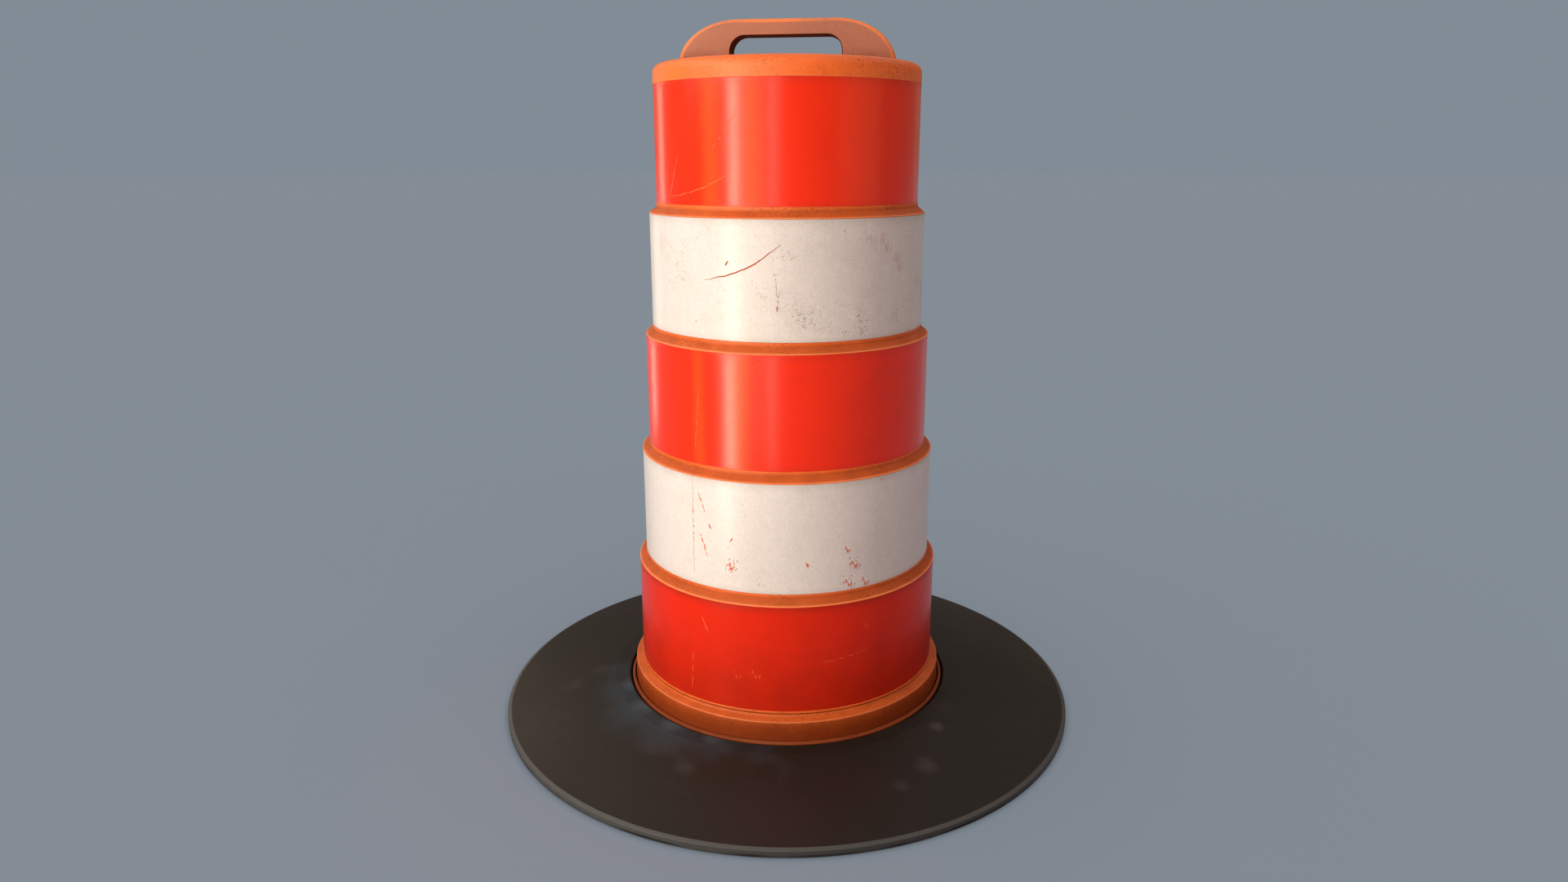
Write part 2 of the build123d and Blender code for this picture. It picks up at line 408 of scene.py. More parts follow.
def wall_waves(size: float) -> Warp:
    """Makes the slight waviness of the drum's moulded wall, which its sheeting follows.

    Args:
        size: how far the wall moves in, in millimetres.

    Returns:
        A function of angle and height that gives the shift of the radius.
    """

    def shift(angle: float, height: float) -> float:
        """Gives the inward shift at one place."""
        x, y = WAVES_AROUND * math.cos(angle), WAVES_AROUND * math.sin(angle)
        place = Vector((x, y, height / WAVE_HEIGHT + WAVE_SEED))
        return -size * (0.5 + 0.5 * noise.noise(place))

    return shift


def join(name: str, pieces: Sequence[Piece]) -> Piece:
    """Joins objects into the first one.

    Args:
        name: the joined object's name.
        pieces: the objects to join.

    Returns:
        The joined object.
    """
    with bpy.context.temp_override(
        active_object=pieces[0], selected_editable_objects=list(pieces), selected_objects=list(pieces)
    ):
        bpy.ops.object.join()
    pieces[0].name = name
    return pieces[0]


# ---------------------------------------------------------------- shader groups


class Graph:
    """Adds nodes to one tree and wires them."""

    def __init__(self, tree: Tree) -> None:
        """Keeps the tree."""
        self.tree = tree

    def add(self, kind: str, **settings: object) -> Node:
        """Adds a node.

        Args:
            kind: the node's type without its ShaderNode prefix.
            **settings: attributes set on the node.

        Returns:
            The new node.
        """
        node = self.tree.nodes.new("ShaderNode" + kind)
        for name, value in settings.items():
            setattr(node, name, value)
        return node

    def feed(self, socket: Socket, value: object) -> None:
        """Links a socket into another, or sets a plain value on it."""
        if isinstance(value, Socket):
            self.tree.links.new(value, socket)
        else:
            socket.default_value = value

    def math(self, kind: str, *values: object, clamp: bool = False) -> Socket:
        """Adds a Math node.

        Args:
            kind: the operation.
            *values: sockets or numbers for its inputs.
            clamp: keeps the result between 0 and 1.

        Returns:
            The result's socket.
        """
        node = self.add("Math", operation=kind, use_clamp=clamp)
        for socket, value in zip(node.inputs, values):
            self.feed(socket, value)
        return node.outputs[0]

    def times(self, one: object, other: object, clamp: bool = False) -> Socket:
        """Multiplies two values."""
        return self.math("MULTIPLY", one, other, clamp=clamp)

    def plus(self, one: object, other: object, clamp: bool = False) -> Socket:
        """Adds two values."""
        return self.math("ADD", one, other, clamp=clamp)

    def minus(self, one: object, other: object) -> Socket:
        """Takes the second value from the first."""
        return self.math("SUBTRACT", one, other)

    def centred(self, value: object) -> Socket:
        """Moves a value that lies about 0.5 to lie about 0."""
        return self.minus(value, 0.5)

    def total(self, start: float, *parts: tuple[object, float]) -> object:
        """Adds shares of several values to a number.

        Args:
            start: the number.
            *parts: each value with its share.

        Returns:
            The sum's socket.
        """
        result: object = start
        for value, share in parts:
            result = self.plus(result, self.times(value, share))
        return result

    def parts(self, place: Socket) -> tuple[Socket, ...]:
        """Splits coordinates into X, Y and Z."""
        node = self.add("SeparateXYZ")
        self.feed(node.inputs[0], place)
        return tuple(node.outputs)

    def away(self, place: Socket, first: object, second: object) -> tuple[Socket, Socket]:
        """Measures coordinates from a spot.

        Args:
            place: the coordinates.
            first: the spot's first coordinate.
            second: its second coordinate.

        Returns:
            How far off the coordinates lie in each of the two.
        """
        across, up, _ = self.parts(place)
        return self.minus(across, first), self.minus(up, second)

    def ramp(self, value: object, low: object, high: object) -> Socket:
        """Maps low..high to 0..1 smoothly.

        Args:
            value: the socket to map.
            low: what becomes 0.
            high: what becomes 1.

        Returns:
            The mapped value's socket.
        """
        node = self.add("MapRange", interpolation_type="SMOOTHSTEP")
        self.feed(node.inputs["Value"], value)
        self.feed(node.inputs["From Min"], low)
        self.feed(node.inputs["From Max"], high)
        return node.outputs["Result"]

    def mix(self, share: object, one: object, other: object) -> Socket:
        """Mixes two colours.

        Args:
            share: how much of the second shows.
            one: the first colour or its socket.
            other: the second colour or its socket.

        Returns:
            The mixed colour's socket.
        """
        node = self.add("Mix", data_type="RGBA")
        self.feed(node.inputs[0], share)
        for socket, value in ((node.inputs[6], one), (node.inputs[7], other)):
            self.feed(socket, (*value, 1.0) if isinstance(value, tuple) else value)
        return node.outputs[2]

    def tint(self, hue: object, colour: Rgb, mask: object, strength: float) -> Socket:
        """Lays a colour over another where a mask shows, at a strength."""
        return self.mix(self.times(mask, strength), hue, colour)

    def noise(self, place: object, scale: object, detail: float = 3.0, rough: float = 0.55) -> Socket:
        """Adds a noise texture.

        Args:
            place: the coordinates.
            scale: features per metre.
            detail: octaves.
            rough: how strong the finer octaves are.

        Returns:
            The noise value's socket, about 0.5.
        """
        node = self.add("TexNoise")
        self.feed(node.inputs["Vector"], place)
        self.feed(node.inputs["Scale"], scale)
        node.inputs["Detail"].default_value = detail
        node.inputs["Roughness"].default_value = rough
        return node.outputs["Fac"]

    def stretched(self, place: object, tilt: float, across: float, along: float) -> Socket:
        """Turns and stretches coordinates, for streaks.

        Args:
            place: the coordinates.
            tilt: turn in radians.
            across: scale across the streaks.
            along: scale along them.

        Returns:
            The new coordinates' socket.
        """
        turn = self.add("Mapping")
        self.feed(turn.inputs["Vector"], place)
        turn.inputs["Rotation"].default_value = (0, 0, tilt)
        scale = self.add("Mapping")
        self.feed(scale.inputs["Vector"], turn.outputs[0])
        scale.inputs["Scale"].default_value = (along, across, across)
        return scale.outputs[0]

    def skin(self) -> Socket:
        """Gives the place on the skin, in metres."""
        return self.add("UVMap", uv_map=SKIN).outputs[0]

    def body(self) -> Socket:
        """Gives the place in the piece, in metres."""
        return self.add("TexCoord").outputs["Object"]

    def state(self, name: str) -> Socket:
        """Gives a value that the mesh keeps at its vertices."""
        return self.add("Attribute", attribute_name=name).outputs["Fac"]


class Effect(Enum):
    """The shader groups that finishes share."""

    EDGE_WEAR = "Edge wear and highlight"
    SETTLED_DIRT = "Shade and settled dirt"
    MOTTLE = "Mottle"
    SPECKLE = "Speckle"
    FINE_SCRATCHES = "Fine scratches"
    GOUGE = "Gouge"
    CHIPS = "Chips"
    GRAIN = "Moulded grain"
    PRISM_CELLS = "Prism cells"
    PARTING_LINE = "Parting line"
    HAZE = "Haze"


@dataclass
class EffectLibrary:
    """Builds each shared shader group once, and places it in materials."""

    made: dict[Effect, Tree] = field(default_factory=dict)

    def _start(
        self, effect: Effect, inputs: dict[str, float], outputs: Iterable[str]
    ) -> tuple[Graph, dict[str, Socket], Node]:
        """Starts a group with its sockets.

        Args:
            effect: which group.
            inputs: input names and default values.
            outputs: output names.

        Returns:
            The graph, the input sockets by name, and the output node.
        """
        tree = bpy.data.node_groups.new(effect.value, "ShaderNodeTree")
        for name, value in inputs.items():
            socket = tree.interface.new_socket(name=name, in_out="INPUT", socket_type="NodeSocketFloat")
            socket.default_value = value
        for name in outputs:
            tree.interface.new_socket(name=name, in_out="OUTPUT", socket_type="NodeSocketFloat")
        entry = tree.nodes.new("NodeGroupInput")
        leave = tree.nodes.new("NodeGroupOutput")
        self.made[effect] = tree
        return Graph(tree), {name: entry.outputs[name] for name in inputs}, leave

    def edge_wear_and_highlight(self) -> None:
        """Pale edges, worn on the sheeting and partly a painted highlight on plastic and rubber: the mesh's
        edge amount broken up by noise.
        """
        inputs = {"Amount": 1.0, "Scale": 180.0, "Breakup": 0.5}
        graph, given, leave = self._start(Effect.EDGE_WEAR, inputs, ["Mask"])
        rough = graph.noise(graph.body(), given["Scale"], 5, 0.65)
        patches = graph.noise(graph.body(), 14.0, 2, 0.5)
        worn_and_lit = graph.times(graph.state(WEAR_AND_HIGHLIGHT), given["Amount"])
        lost = graph.times(graph.minus(1.25, rough), given["Breakup"])
        lost = graph.plus(lost, graph.times(graph.minus(0.6, patches), 0.9))
        graph.feed(leave.inputs["Mask"], graph.ramp(graph.minus(worn_and_lit, lost), 0.0, 0.45))

    def shade_and_dirt(self) -> None:
        """Dirt and painted shade in creases, in recesses and towards the bottom: the mesh's amount and a
        darkening below a height, broken up by noise.
        """
        inputs = {"Amount": 1.0, "Scale": 40.0, "Low": 0.0, "High": 0.3, "Unevenness": 0.45}
        graph, given, leave = self._start(Effect.SETTLED_DIRT, inputs, ["Mask"])
        cloud = graph.noise(graph.body(), given["Scale"], 6, 0.6)
        height = graph.parts(graph.body())[2]
        rise = graph.minus(1.0, graph.ramp(height, given["Low"], given["High"]))
        both = graph.math("MAXIMUM", graph.state(SHADE_AND_GRIME), graph.times(rise, 0.6))
        uneven = graph.plus(both, graph.times(graph.centred(cloud), given["Unevenness"]))
        mask = graph.times(graph.ramp(uneven, 0.0, 1.0), given["Amount"], clamp=True)
        graph.feed(leave.inputs["Mask"], mask)

    def mottle(self) -> None:
        """Soft uneven tone at two scales."""
        graph, given, leave = self._start(Effect.MOTTLE, {"Scale": 6.0, "Contrast": 1.0}, ["Tone"])
        wide = graph.noise(graph.body(), given["Scale"], 3, 0.5)
        fine = graph.noise(graph.body(), graph.times(given["Scale"], 9.0), 4, 0.6)
        both = graph.plus(graph.times(wide, 0.7), graph.times(fine, 0.3))
        spread = graph.times(graph.centred(both), given["Contrast"])
        graph.feed(leave.inputs["Tone"], graph.plus(spread, 0.5, clamp=True))

    def speckle(self) -> None:
        """Small dirt specks that gather in patches."""
        inputs = {"Scale": 420.0, "Amount": 0.5, "Patch Scale": 9.0}
        graph, given, leave = self._start(Effect.SPECKLE, inputs, ["Mask"])
        dots = graph.noise(graph.body(), given["Scale"], 3, 0.75)
        patch = graph.noise(graph.body(), given["Patch Scale"], 4, 0.6)
        near = graph.times(graph.ramp(patch, 0.4, 0.7), given["Amount"])
        level = graph.minus(0.8, graph.times(near, 0.36))
        high = graph.plus(level, 0.05)
        graph.feed(leave.inputs["Mask"], graph.ramp(dots, level, high))

    def fine_scratches(self) -> None:
        """Hairline scratches in three directions."""
        inputs = {"Amount": 0.5, "Patch Scale": 12.0}
        graph, given, leave = self._start(Effect.FINE_SCRATCHES, inputs, ["Mask"])
        patch = graph.noise(graph.body(), given["Patch Scale"], 3, 0.6)
        lines: object = 0.0
        for tilt, across, along in ((0.35, 900.0, 14.0), (1.25, 760.0, 18.0), (-0.7, 1040.0, 20.0)):
            place = graph.stretched(graph.skin(), tilt, across, along)
            streak = graph.ramp(graph.noise(place, 1.0, 1.0, 0.5), 0.70, 0.76)
            lines = graph.math("MAXIMUM", lines, streak)
        shown = graph.ramp(patch, graph.minus(0.85, given["Amount"]), 0.9)
        graph.feed(leave.inputs["Mask"], graph.times(lines, shown))

    def gouge(self) -> None:
        """One scratch: a thin bent line at a place on the skin, broken here and there."""
        inputs = {
            "Along": 0.1, "Up": 0.1, "Tilt": 0.0, "Half Length": 0.03, "Bend": 0.0, "Half Width": 0.0006,
            "Gaps": 0.4,
        }
        graph, given, leave = self._start(Effect.GOUGE, inputs, ["Mask"])
        x, y = graph.away(graph.skin(), given["Along"], given["Up"])
        cosine, sine = graph.math("COSINE", given["Tilt"]), graph.math("SINE", given["Tilt"])
        run = graph.plus(graph.times(x, cosine), graph.times(y, sine))
        off = graph.minus(graph.times(y, cosine), graph.times(x, sine))
        arch = graph.times(graph.times(run, run), given["Bend"])
        wander = graph.times(graph.centred(graph.noise(graph.skin(), 60.0, 2)), 0.004)
        off = graph.math("ABSOLUTE", graph.plus(graph.minus(off, arch), wander))
        far = graph.math("DIVIDE", graph.math("ABSOLUTE", run), given["Half Length"])
        rough = graph.noise(graph.skin(), 420.0, 3, 0.7)
        taper = graph.minus(1.35, graph.times(far, far))
        wide = graph.times(given["Half Width"], graph.plus(rough, 0.35))
        wide = graph.times(wide, taper)
        line = graph.minus(1.0, graph.ramp(off, graph.times(wide, 0.7), wide))
        line = graph.times(line, graph.math("LESS_THAN", far, 1.0))
        breaks = graph.noise(graph.skin(), 150.0, 4, 0.75)
        kept = graph.ramp(breaks, graph.minus(given["Gaps"], 0.04), graph.plus(given["Gaps"], 0.04))
        graph.feed(leave.inputs["Mask"], graph.times(line, kept))

    def chips(self) -> None:
        """A cluster of small chips, longer than they are wide, round a place on the skin."""
        inputs = {
            "Along": 0.1, "Up": 0.1, "Reach": 0.02, "Level": 0.62, "Scale": 260.0, "Tilt": 0.0,
            "Squeeze": 0.45,
        }
        graph, given, leave = self._start(Effect.CHIPS, inputs, ["Mask"])
        x, y = graph.away(graph.skin(), given["Along"], given["Up"])
        lean = graph.plus(x, graph.times(y, given["Tilt"]))
        squares = graph.plus(graph.times(lean, lean), graph.times(graph.times(y, y), 0.45))
        near = graph.ramp(graph.math("SQRT", squares), given["Reach"], 0.0)
        place = graph.add("CombineXYZ")
        graph.feed(place.inputs[0], lean)
        graph.feed(place.inputs[1], graph.times(y, given["Squeeze"]))
        flakes = graph.noise(place.outputs[0], given["Scale"], 3, 0.7)
        level = graph.plus(given["Level"], graph.times(graph.minus(1.0, near), 0.3))
        graph.feed(leave.inputs["Mask"], graph.ramp(flakes, level, graph.plus(level, 0.05)))

    def grain(self) -> None:
        """The slight orange peel of a moulded or rubber surface."""
        graph, given, leave = self._start(Effect.GRAIN, {"Scale": 700.0, "Waves": 0.4}, ["Height"])
        fine = graph.noise(graph.body(), given["Scale"], 3, 0.55)
        slow = graph.noise(graph.body(), graph.times(given["Scale"], 0.12), 2, 0.5)
        graph.feed(leave.inputs["Height"], graph.plus(fine, graph.times(slow, given["Waves"])))

    def prism_cells(self) -> None:
        """The diamond lattice of sealed cells in reflective sheeting."""
        inputs = {"Cell": 0.0042, "Line": 0.09}
        graph, given, leave = self._start(Effect.PRISM_CELLS, inputs, ["Line", "Height"])
        u, v, _ = graph.parts(graph.skin())
        lines: object = 1.0
        for sign in ("ADD", "SUBTRACT"):
            slant = graph.math(sign, u, graph.times(v, 0.62))
            phase = graph.math("FRACT", graph.math("DIVIDE", slant, given["Cell"]))
            lines = graph.math("MINIMUM", lines, graph.math("ABSOLUTE", graph.centred(phase)))
        line = graph.minus(1.0, graph.ramp(lines, 0.0, given["Line"]))
        graph.feed(leave.inputs["Line"], line)
        graph.feed(leave.inputs["Height"], graph.times(lines, 2.0))

    def parting_line(self) -> None:
        """The thin raised line where the two halves of the mould met, at both sides."""
        graph, given, leave = self._start(Effect.PARTING_LINE, {"Half Width": 0.0009}, ["Height"])
        off = graph.math("ABSOLUTE", graph.parts(graph.body())[1])
        ridge = graph.minus(1.0, graph.ramp(off, 0.0, given["Half Width"]))
        graph.feed(leave.inputs["Height"], ridge)

    def haze(self) -> None:
        """A soft uneven patch round a place on the piece, seen from above."""
        inputs = {"X": 0.3, "Y": 0.0, "Reach": 0.05, "Scale": 26.0, "Unevenness": 0.5}
        graph, given, leave = self._start(Effect.HAZE, inputs, ["Mask"])
        x, y = graph.away(graph.body(), given["X"], given["Y"])
        far = graph.math("SQRT", graph.plus(graph.times(x, x), graph.times(y, y)))
        cloud = graph.centred(graph.noise(graph.body(), given["Scale"], 5, 0.62))
        uneven = graph.times(graph.times(cloud, given["Unevenness"]), 2.0)
        reach = graph.plus(graph.math("DIVIDE", far, given["Reach"]), uneven)
        graph.feed(leave.inputs["Mask"], graph.ramp(reach, 1.0, 0.05))

    def build(self) -> None:
        """Builds every group."""
        for make in (self.edge_wear_and_highlight, self.shade_and_dirt, self.mottle, self.speckle, self.fine_scratches,
                     self.gouge, self.chips, self.grain, self.prism_cells, self.parting_line, self.haze):
            make()

    def place(self, graph: Graph, effect: Effect, output: str, **values: float) -> Socket:
        """Places a group in a material.

        Args:
            graph: the material's graph.
            effect: which group.
            output: the wanted output's name.
            **values: input values, with underscores for spaces in names.

        Returns:
            The output's socket.
        """
        node = graph.add("Group")
        node.node_tree = self.made[effect]
        node.label = effect.value
        for name, value in values.items():
            node.inputs[name.replace("_", " ")].default_value = value
        return node.outputs[output]


EFFECTS = EffectLibrary()


def new_material(name: str) -> tuple[Material, Graph, Node]:
    """Starts a material.

    Args:
        name: the material's name.

    Returns:
        The material, its graph and its Principled shader.
    """
    material = bpy.data.materials.new(name)
    material.use_nodes = True
    return material, Graph(material.node_tree), material.node_tree.nodes["Principled BSDF"]


def put_bump(graph: Graph, shader: Node, layers: Sequence[tuple[object, float]]) -> None:
    """Stacks bumps and feeds the shader's normal.

    Args:
        graph: the material's graph.
        shader: its shader.
        layers: each layer's height socket and its depth in metres.
    """
    normal = None
    for height, depth in layers:
        node = graph.add("Bump")
        node.inputs["Distance"].default_value = depth
        graph.feed(node.inputs["Height"], height)
        if normal is not None:
            graph.feed(node.inputs["Normal"], normal)
        normal = node.outputs[0]
    graph.feed(shader.inputs["Normal"], normal)


# ---------------------------------------------------------------- finishes


@dataclass(frozen=True)
class MouldedPlastic:
    """Coloured polyethylene: uneven tone, pale edges that are partly worn and partly a painted highlight,
    dirt with painted shade in creases and low down, and hairlines.
    """

    name: str
    colour: Rgb
    deep: Rgb
    worn_and_lit: Rgb
    dirt_and_shade: Rgb
    roughness: float = 0.46
    wear_and_highlight: float = 1.0
    shade_and_dirtiness: float = 0.8
    scratches: float = 0.35
    shade_and_dirt_height: float = 0.12
    shine: float = 0.3
    mottle: float = 0.9
    flecks: float = 0.16

    def build(self) -> Material:
        """Builds the finish.

        Returns:
            The material.
        """
        material, graph, shader = new_material(self.name)
        put = EFFECTS.place
        tone = put(graph, Effect.MOTTLE, "Tone", Scale=7.0, Contrast=self.mottle)
        hue = graph.mix(tone, self.deep, self.colour)
        grit = graph.ramp(graph.noise(graph.body(), 380.0, 3, 0.65), 0.44, 0.7)
        patch = graph.ramp(graph.noise(graph.body(), 13.0, 3, 0.6), 0.4, 0.62)
        grit = graph.times(grit, graph.times(graph.plus(patch, 0.25), self.flecks))
        hue = graph.mix(grit, hue, self.dirt_and_shade)
        hairs = put(graph, Effect.FINE_SCRATCHES, "Mask", Amount=self.scratches)
        hue = graph.tint(hue, self.worn_and_lit, hairs, 0.55)
        # pale edges: wear, and a painted highlight along the rounded edges
        edges = put(graph, Effect.EDGE_WEAR, "Mask", Amount=self.wear_and_highlight, Breakup=0.45)
        hue = graph.tint(hue, self.worn_and_lit, edges, 0.8)
        dirt_and_shade = put(
            graph, Effect.SETTLED_DIRT, "Mask", Amount=self.shade_and_dirtiness, High=self.shade_and_dirt_height, Unevenness=0.28
        )
        specks = put(graph, Effect.SPECKLE, "Mask", Scale=520.0, Amount=0.5)
        hue = graph.tint(hue, self.dirt_and_shade, specks, 0.24)
        hue = graph.mix(dirt_and_shade, hue, self.dirt_and_shade)
        graph.feed(shader.inputs["Base Color"], hue)
        rough = graph.total(self.roughness, (dirt_and_shade, 0.25), (graph.centred(tone), 0.16), (hairs, 0.1))
        graph.feed(shader.inputs["Roughness"], rough)
        grain = put(graph, Effect.GRAIN, "Height", Scale=900.0)
        line = put(graph, Effect.PARTING_LINE, "Height")
        cuts = graph.times(hairs, -1.0)
        put_bump(graph, shader, ((grain, 0.00007), (line, 0.00025), (cuts, 0.00006)))
        shader.inputs["IOR"].default_value = 1.5
        clear_of_shade_and_dirt = graph.minus(1.0, graph.times(dirt_and_shade, 0.85))
        graph.feed(shader.inputs["Specular IOR Level"], graph.times(clear_of_shade_and_dirt, self.shine))
        return material


@dataclass(frozen=True)
class Gouge:
    """A scratch on a strip: place in degrees about the drum and millimetres up, and its form."""

    angle: float
    height: float
    length: float
    tilt: float = 90.0
    bend: float = 0.0
    width: float = 1.2
    gaps: float = 0.42


@dataclass(frozen=True)
class ChipCluster:
    """A cluster of chips on a strip: place, reach and how thickly it is chipped."""

    angle: float
    height: float
    reach: float
    level: float = 0.6
    scale: float = 260.0
    tilt: float = 0.0
    squeeze: float = 0.45


@dataclass(frozen=True)
class Haze:
    """A soft patch of another tone: degrees about the drum, millimetres out, and its size."""

    angle: float
    radius: float
    reach: float
    tint: Rgb
    strength: float = 0.4

    def spot(self) -> Spot:
        """Gives the patch's place in metres."""
        turn, out = math.radians(self.angle), self.radius * MM
        return out * math.cos(turn), out * math.sin(turn)

    def lay(self, graph: Graph, hue: Socket, unevenness: float) -> Socket:
        """Lays the patch over a colour.

        Args:
            graph: the material's graph.
            hue: the colour so far.
            unevenness: how ragged the patch is.

        Returns:
            The colour with the patch on it.
        """
        x, y = self.spot()
        patch = EFFECTS.place(
            graph, Effect.HAZE, "Mask", X=x, Y=y, Reach=self.reach * MM, Unevenness=unevenness
        )
        return graph.mix(graph.times(patch, self.strength), hue, self.tint)


@dataclass(frozen=True)
class StripPlace:
    """Where a strip of sheeting lies, so that its marks find their place on its skin."""

    radius: float
    low: float
    seam: float

    def spot(self, angle: float, height: float) -> Spot:
        """Turns degrees about the drum and millimetres up into a place on the skin.

        Args:
            angle: degrees about the drum's axis from +X.
            height: millimetres above the road.

        Returns:
            Metres round from the seam and metres up from the strip's lower edge.
        """
        around = (math.radians(angle) - self.seam) % (2 * math.pi)
        return around * self.radius * MM, (height - self.low) * MM


@dataclass(frozen=True)
class ReflectiveSheeting:
    """Glossy prismatic sheeting: faint cells, painted glow patches, dirt specks, dirt with painted shade low
    down and along its edges, hairlines, gouges and chips.
    """

    name: str
    colour: Rgb
    shade: Rgb
    dirt_and_shade: Rgb
    beneath: Rgb
    strip: StripPlace
    gouges: Sequence[Gouge] = ()
    clusters: Sequence[ChipCluster] = ()
    scuffs: Sequence[ChipCluster] = ()
    speckle: float = 0.5
    speckle_strength: float = 0.6
    cells: float = 0.06
    hairlines: float = 0.3
    grime: float = 0.4
    grime_height: float = 0.1
    clouds: float = 0.1
    roughness: float = 0.34
    shine: float = 0.36
    peel: float = 0.3
    flecks: float = 0.25
    stains: Sequence[ChipCluster] = ()
    hazes: Sequence[Haze] = ()

    def _marks(self, graph: Graph) -> Socket | float:
        """Lays down every gouge and chip.

        Args:
            graph: the material's graph.

        Returns:
            The mask where the sheeting is gone.
        """
        mask: Socket | float = 0.0
        for mark in self.gouges:
            along, up = self.strip.spot(mark.angle, mark.height)
            line = EFFECTS.place(
                graph, Effect.GOUGE, "Mask", Along=along, Up=up, Tilt=math.radians(mark.tilt),
                Half_Length=mark.length * MM / 2, Bend=mark.bend, Half_Width=mark.width * MM / 2,
                Gaps=mark.gaps,
            )
            mask = graph.math("MAXIMUM", mask, line)
        for cluster in self.clusters:
            mask = graph.math("MAXIMUM", mask, self._cluster(graph, cluster))
        return mask

    def _cluster(self, graph: Graph, cluster: ChipCluster) -> Socket:
        """Lays down one cluster of chips."""
        along, up = self.strip.spot(cluster.angle, cluster.height)
        return EFFECTS.place(
            graph, Effect.CHIPS, "Mask", Along=along, Up=up, Reach=cluster.reach * MM,
            Level=cluster.level, Scale=cluster.scale, Tilt=cluster.tilt, Squeeze=cluster.squeeze,
        )

    def _ground(self, graph: Graph, tone: Socket) -> Socket:
        """Lays the sheeting's colour, with painted glow patches, peel, flecks and cells.

        Args:
            graph: the material's graph.
            tone: the slow change of tone.

        Returns:
            The colour's socket.
        """
        put = EFFECTS.place
        hue = graph.mix(tone, self.shade, self.colour)
        for haze in self.hazes:
            hue = haze.lay(graph, hue, 0.25)
        peel = put(graph, Effect.MOTTLE, "Tone", Scale=90.0, Contrast=2.4)
        hue = graph.tint(hue, self.shade, peel, self.peel)
        fleck = graph.ramp(graph.noise(graph.body(), 520.0, 2, 0.6), 0.38, 0.66)
        hue = graph.tint(hue, self.dirt_and_shade, fleck, self.flecks)
        cells = put(graph, Effect.PRISM_CELLS, "Line")
        return graph.tint(hue, self.shade, cells, self.cells)

    def _soiled_and_shaded(self, graph: Graph, hue: Socket) -> tuple[Socket, ...]:
        """Lays specks, clouds, and settled dirt with painted shade, over a colour.

        Args:
            graph: the material's graph.
            hue: the colour so far.

        Returns:
            The colour, the specks' mask and the mask of dirt with painted shade.
        """
        put = EFFECTS.place
        specks = put(graph, Effect.SPECKLE, "Mask", Scale=330.0, Amount=self.speckle, Patch_Scale=11.0)
        hue = graph.tint(hue, self.dirt_and_shade, specks, self.speckle_strength)
        spots = put(graph, Effect.SPECKLE, "Mask", Scale=900.0, Amount=self.speckle, Patch_Scale=24.0)
        hue = graph.tint(hue, self.dirt_and_shade, spots, self.speckle_strength * 0.7)
        cloud = graph.ramp(put(graph, Effect.MOTTLE, "Tone", Scale=16.0, Contrast=2.2), 0.5, 1.0)
        hue = graph.tint(hue, self.dirt_and_shade, cloud, self.clouds)
        dirt_and_shade = put(
            graph, Effect.SETTLED_DIRT, "Mask", Amount=self.grime, Scale=30.0, Low=self.grime_height * 0.2,
            High=self.grime_height,
        )
        return graph.mix(dirt_and_shade, hue, self.dirt_and_shade), specks, dirt_and_shade

    def _damaged(self, graph: Graph, hue: Socket) -> tuple[Socket, ...]:
        """Lays hairlines, scuffs, stains, worn edges, gouges and chips over a colour.

        Args:
            graph: the material's graph.
            hue: the colour so far.

        Returns:
            The colour, the hairlines' mask and the mask of gouges and chips.
        """
        put = EFFECTS.place
        hairs = put(graph, Effect.FINE_SCRATCHES, "Mask", Amount=self.hairlines)
        hue = graph.tint(hue, self.beneath, hairs, 0.35)
        for spots, tint, strength in ((self.scuffs, self.dirt_and_shade, 0.55), (self.stains, self.beneath, 0.35)):
            for spot in spots:
                hue = graph.tint(hue, tint, self._cluster(graph, spot), strength)
        edges = put(graph, Effect.EDGE_WEAR, "Mask", Amount=1.0, Breakup=0.6)
        hue = graph.tint(hue, self.beneath, edges, 0.5)
        marks = self._marks(graph)
        return graph.mix(marks, hue, self.beneath), hairs, marks

    def build(self) -> Material:
        """Builds the finish.

        Returns:
            The material.
        """
        material, graph, shader = new_material(self.name)
        put = EFFECTS.place
        tone = put(graph, Effect.MOTTLE, "Tone", Scale=9.0, Contrast=0.9)
        hue, specks, dirt_and_shade = self._soiled_and_shaded(graph, self._ground(graph, tone))
        hue, hairs, marks = self._damaged(graph, hue)
        graph.feed(shader.inputs["Base Color"], hue)
        rough = graph.total(
            self.roughness, (specks, 0.2), (marks, 0.3), (graph.centred(tone), 0.12), (dirt_and_shade, 0.3)
        )
        graph.feed(shader.inputs["Roughness"], rough)
        film = put(graph, Effect.GRAIN, "Height", Scale=600.0, Waves=0.8)
        lattice = put(graph, Effect.PRISM_CELLS, "Height")
        cuts = graph.times(graph.plus(marks, graph.times(hairs, 0.3)), -1.0)
        put_bump(graph, shader, ((film, 0.00005), (lattice, 0.00002), (cuts, 0.0003)))
        shader.inputs["IOR"].default_value = 1.5
        shader.inputs["Specular IOR Level"].default_value = self.shine
        return material


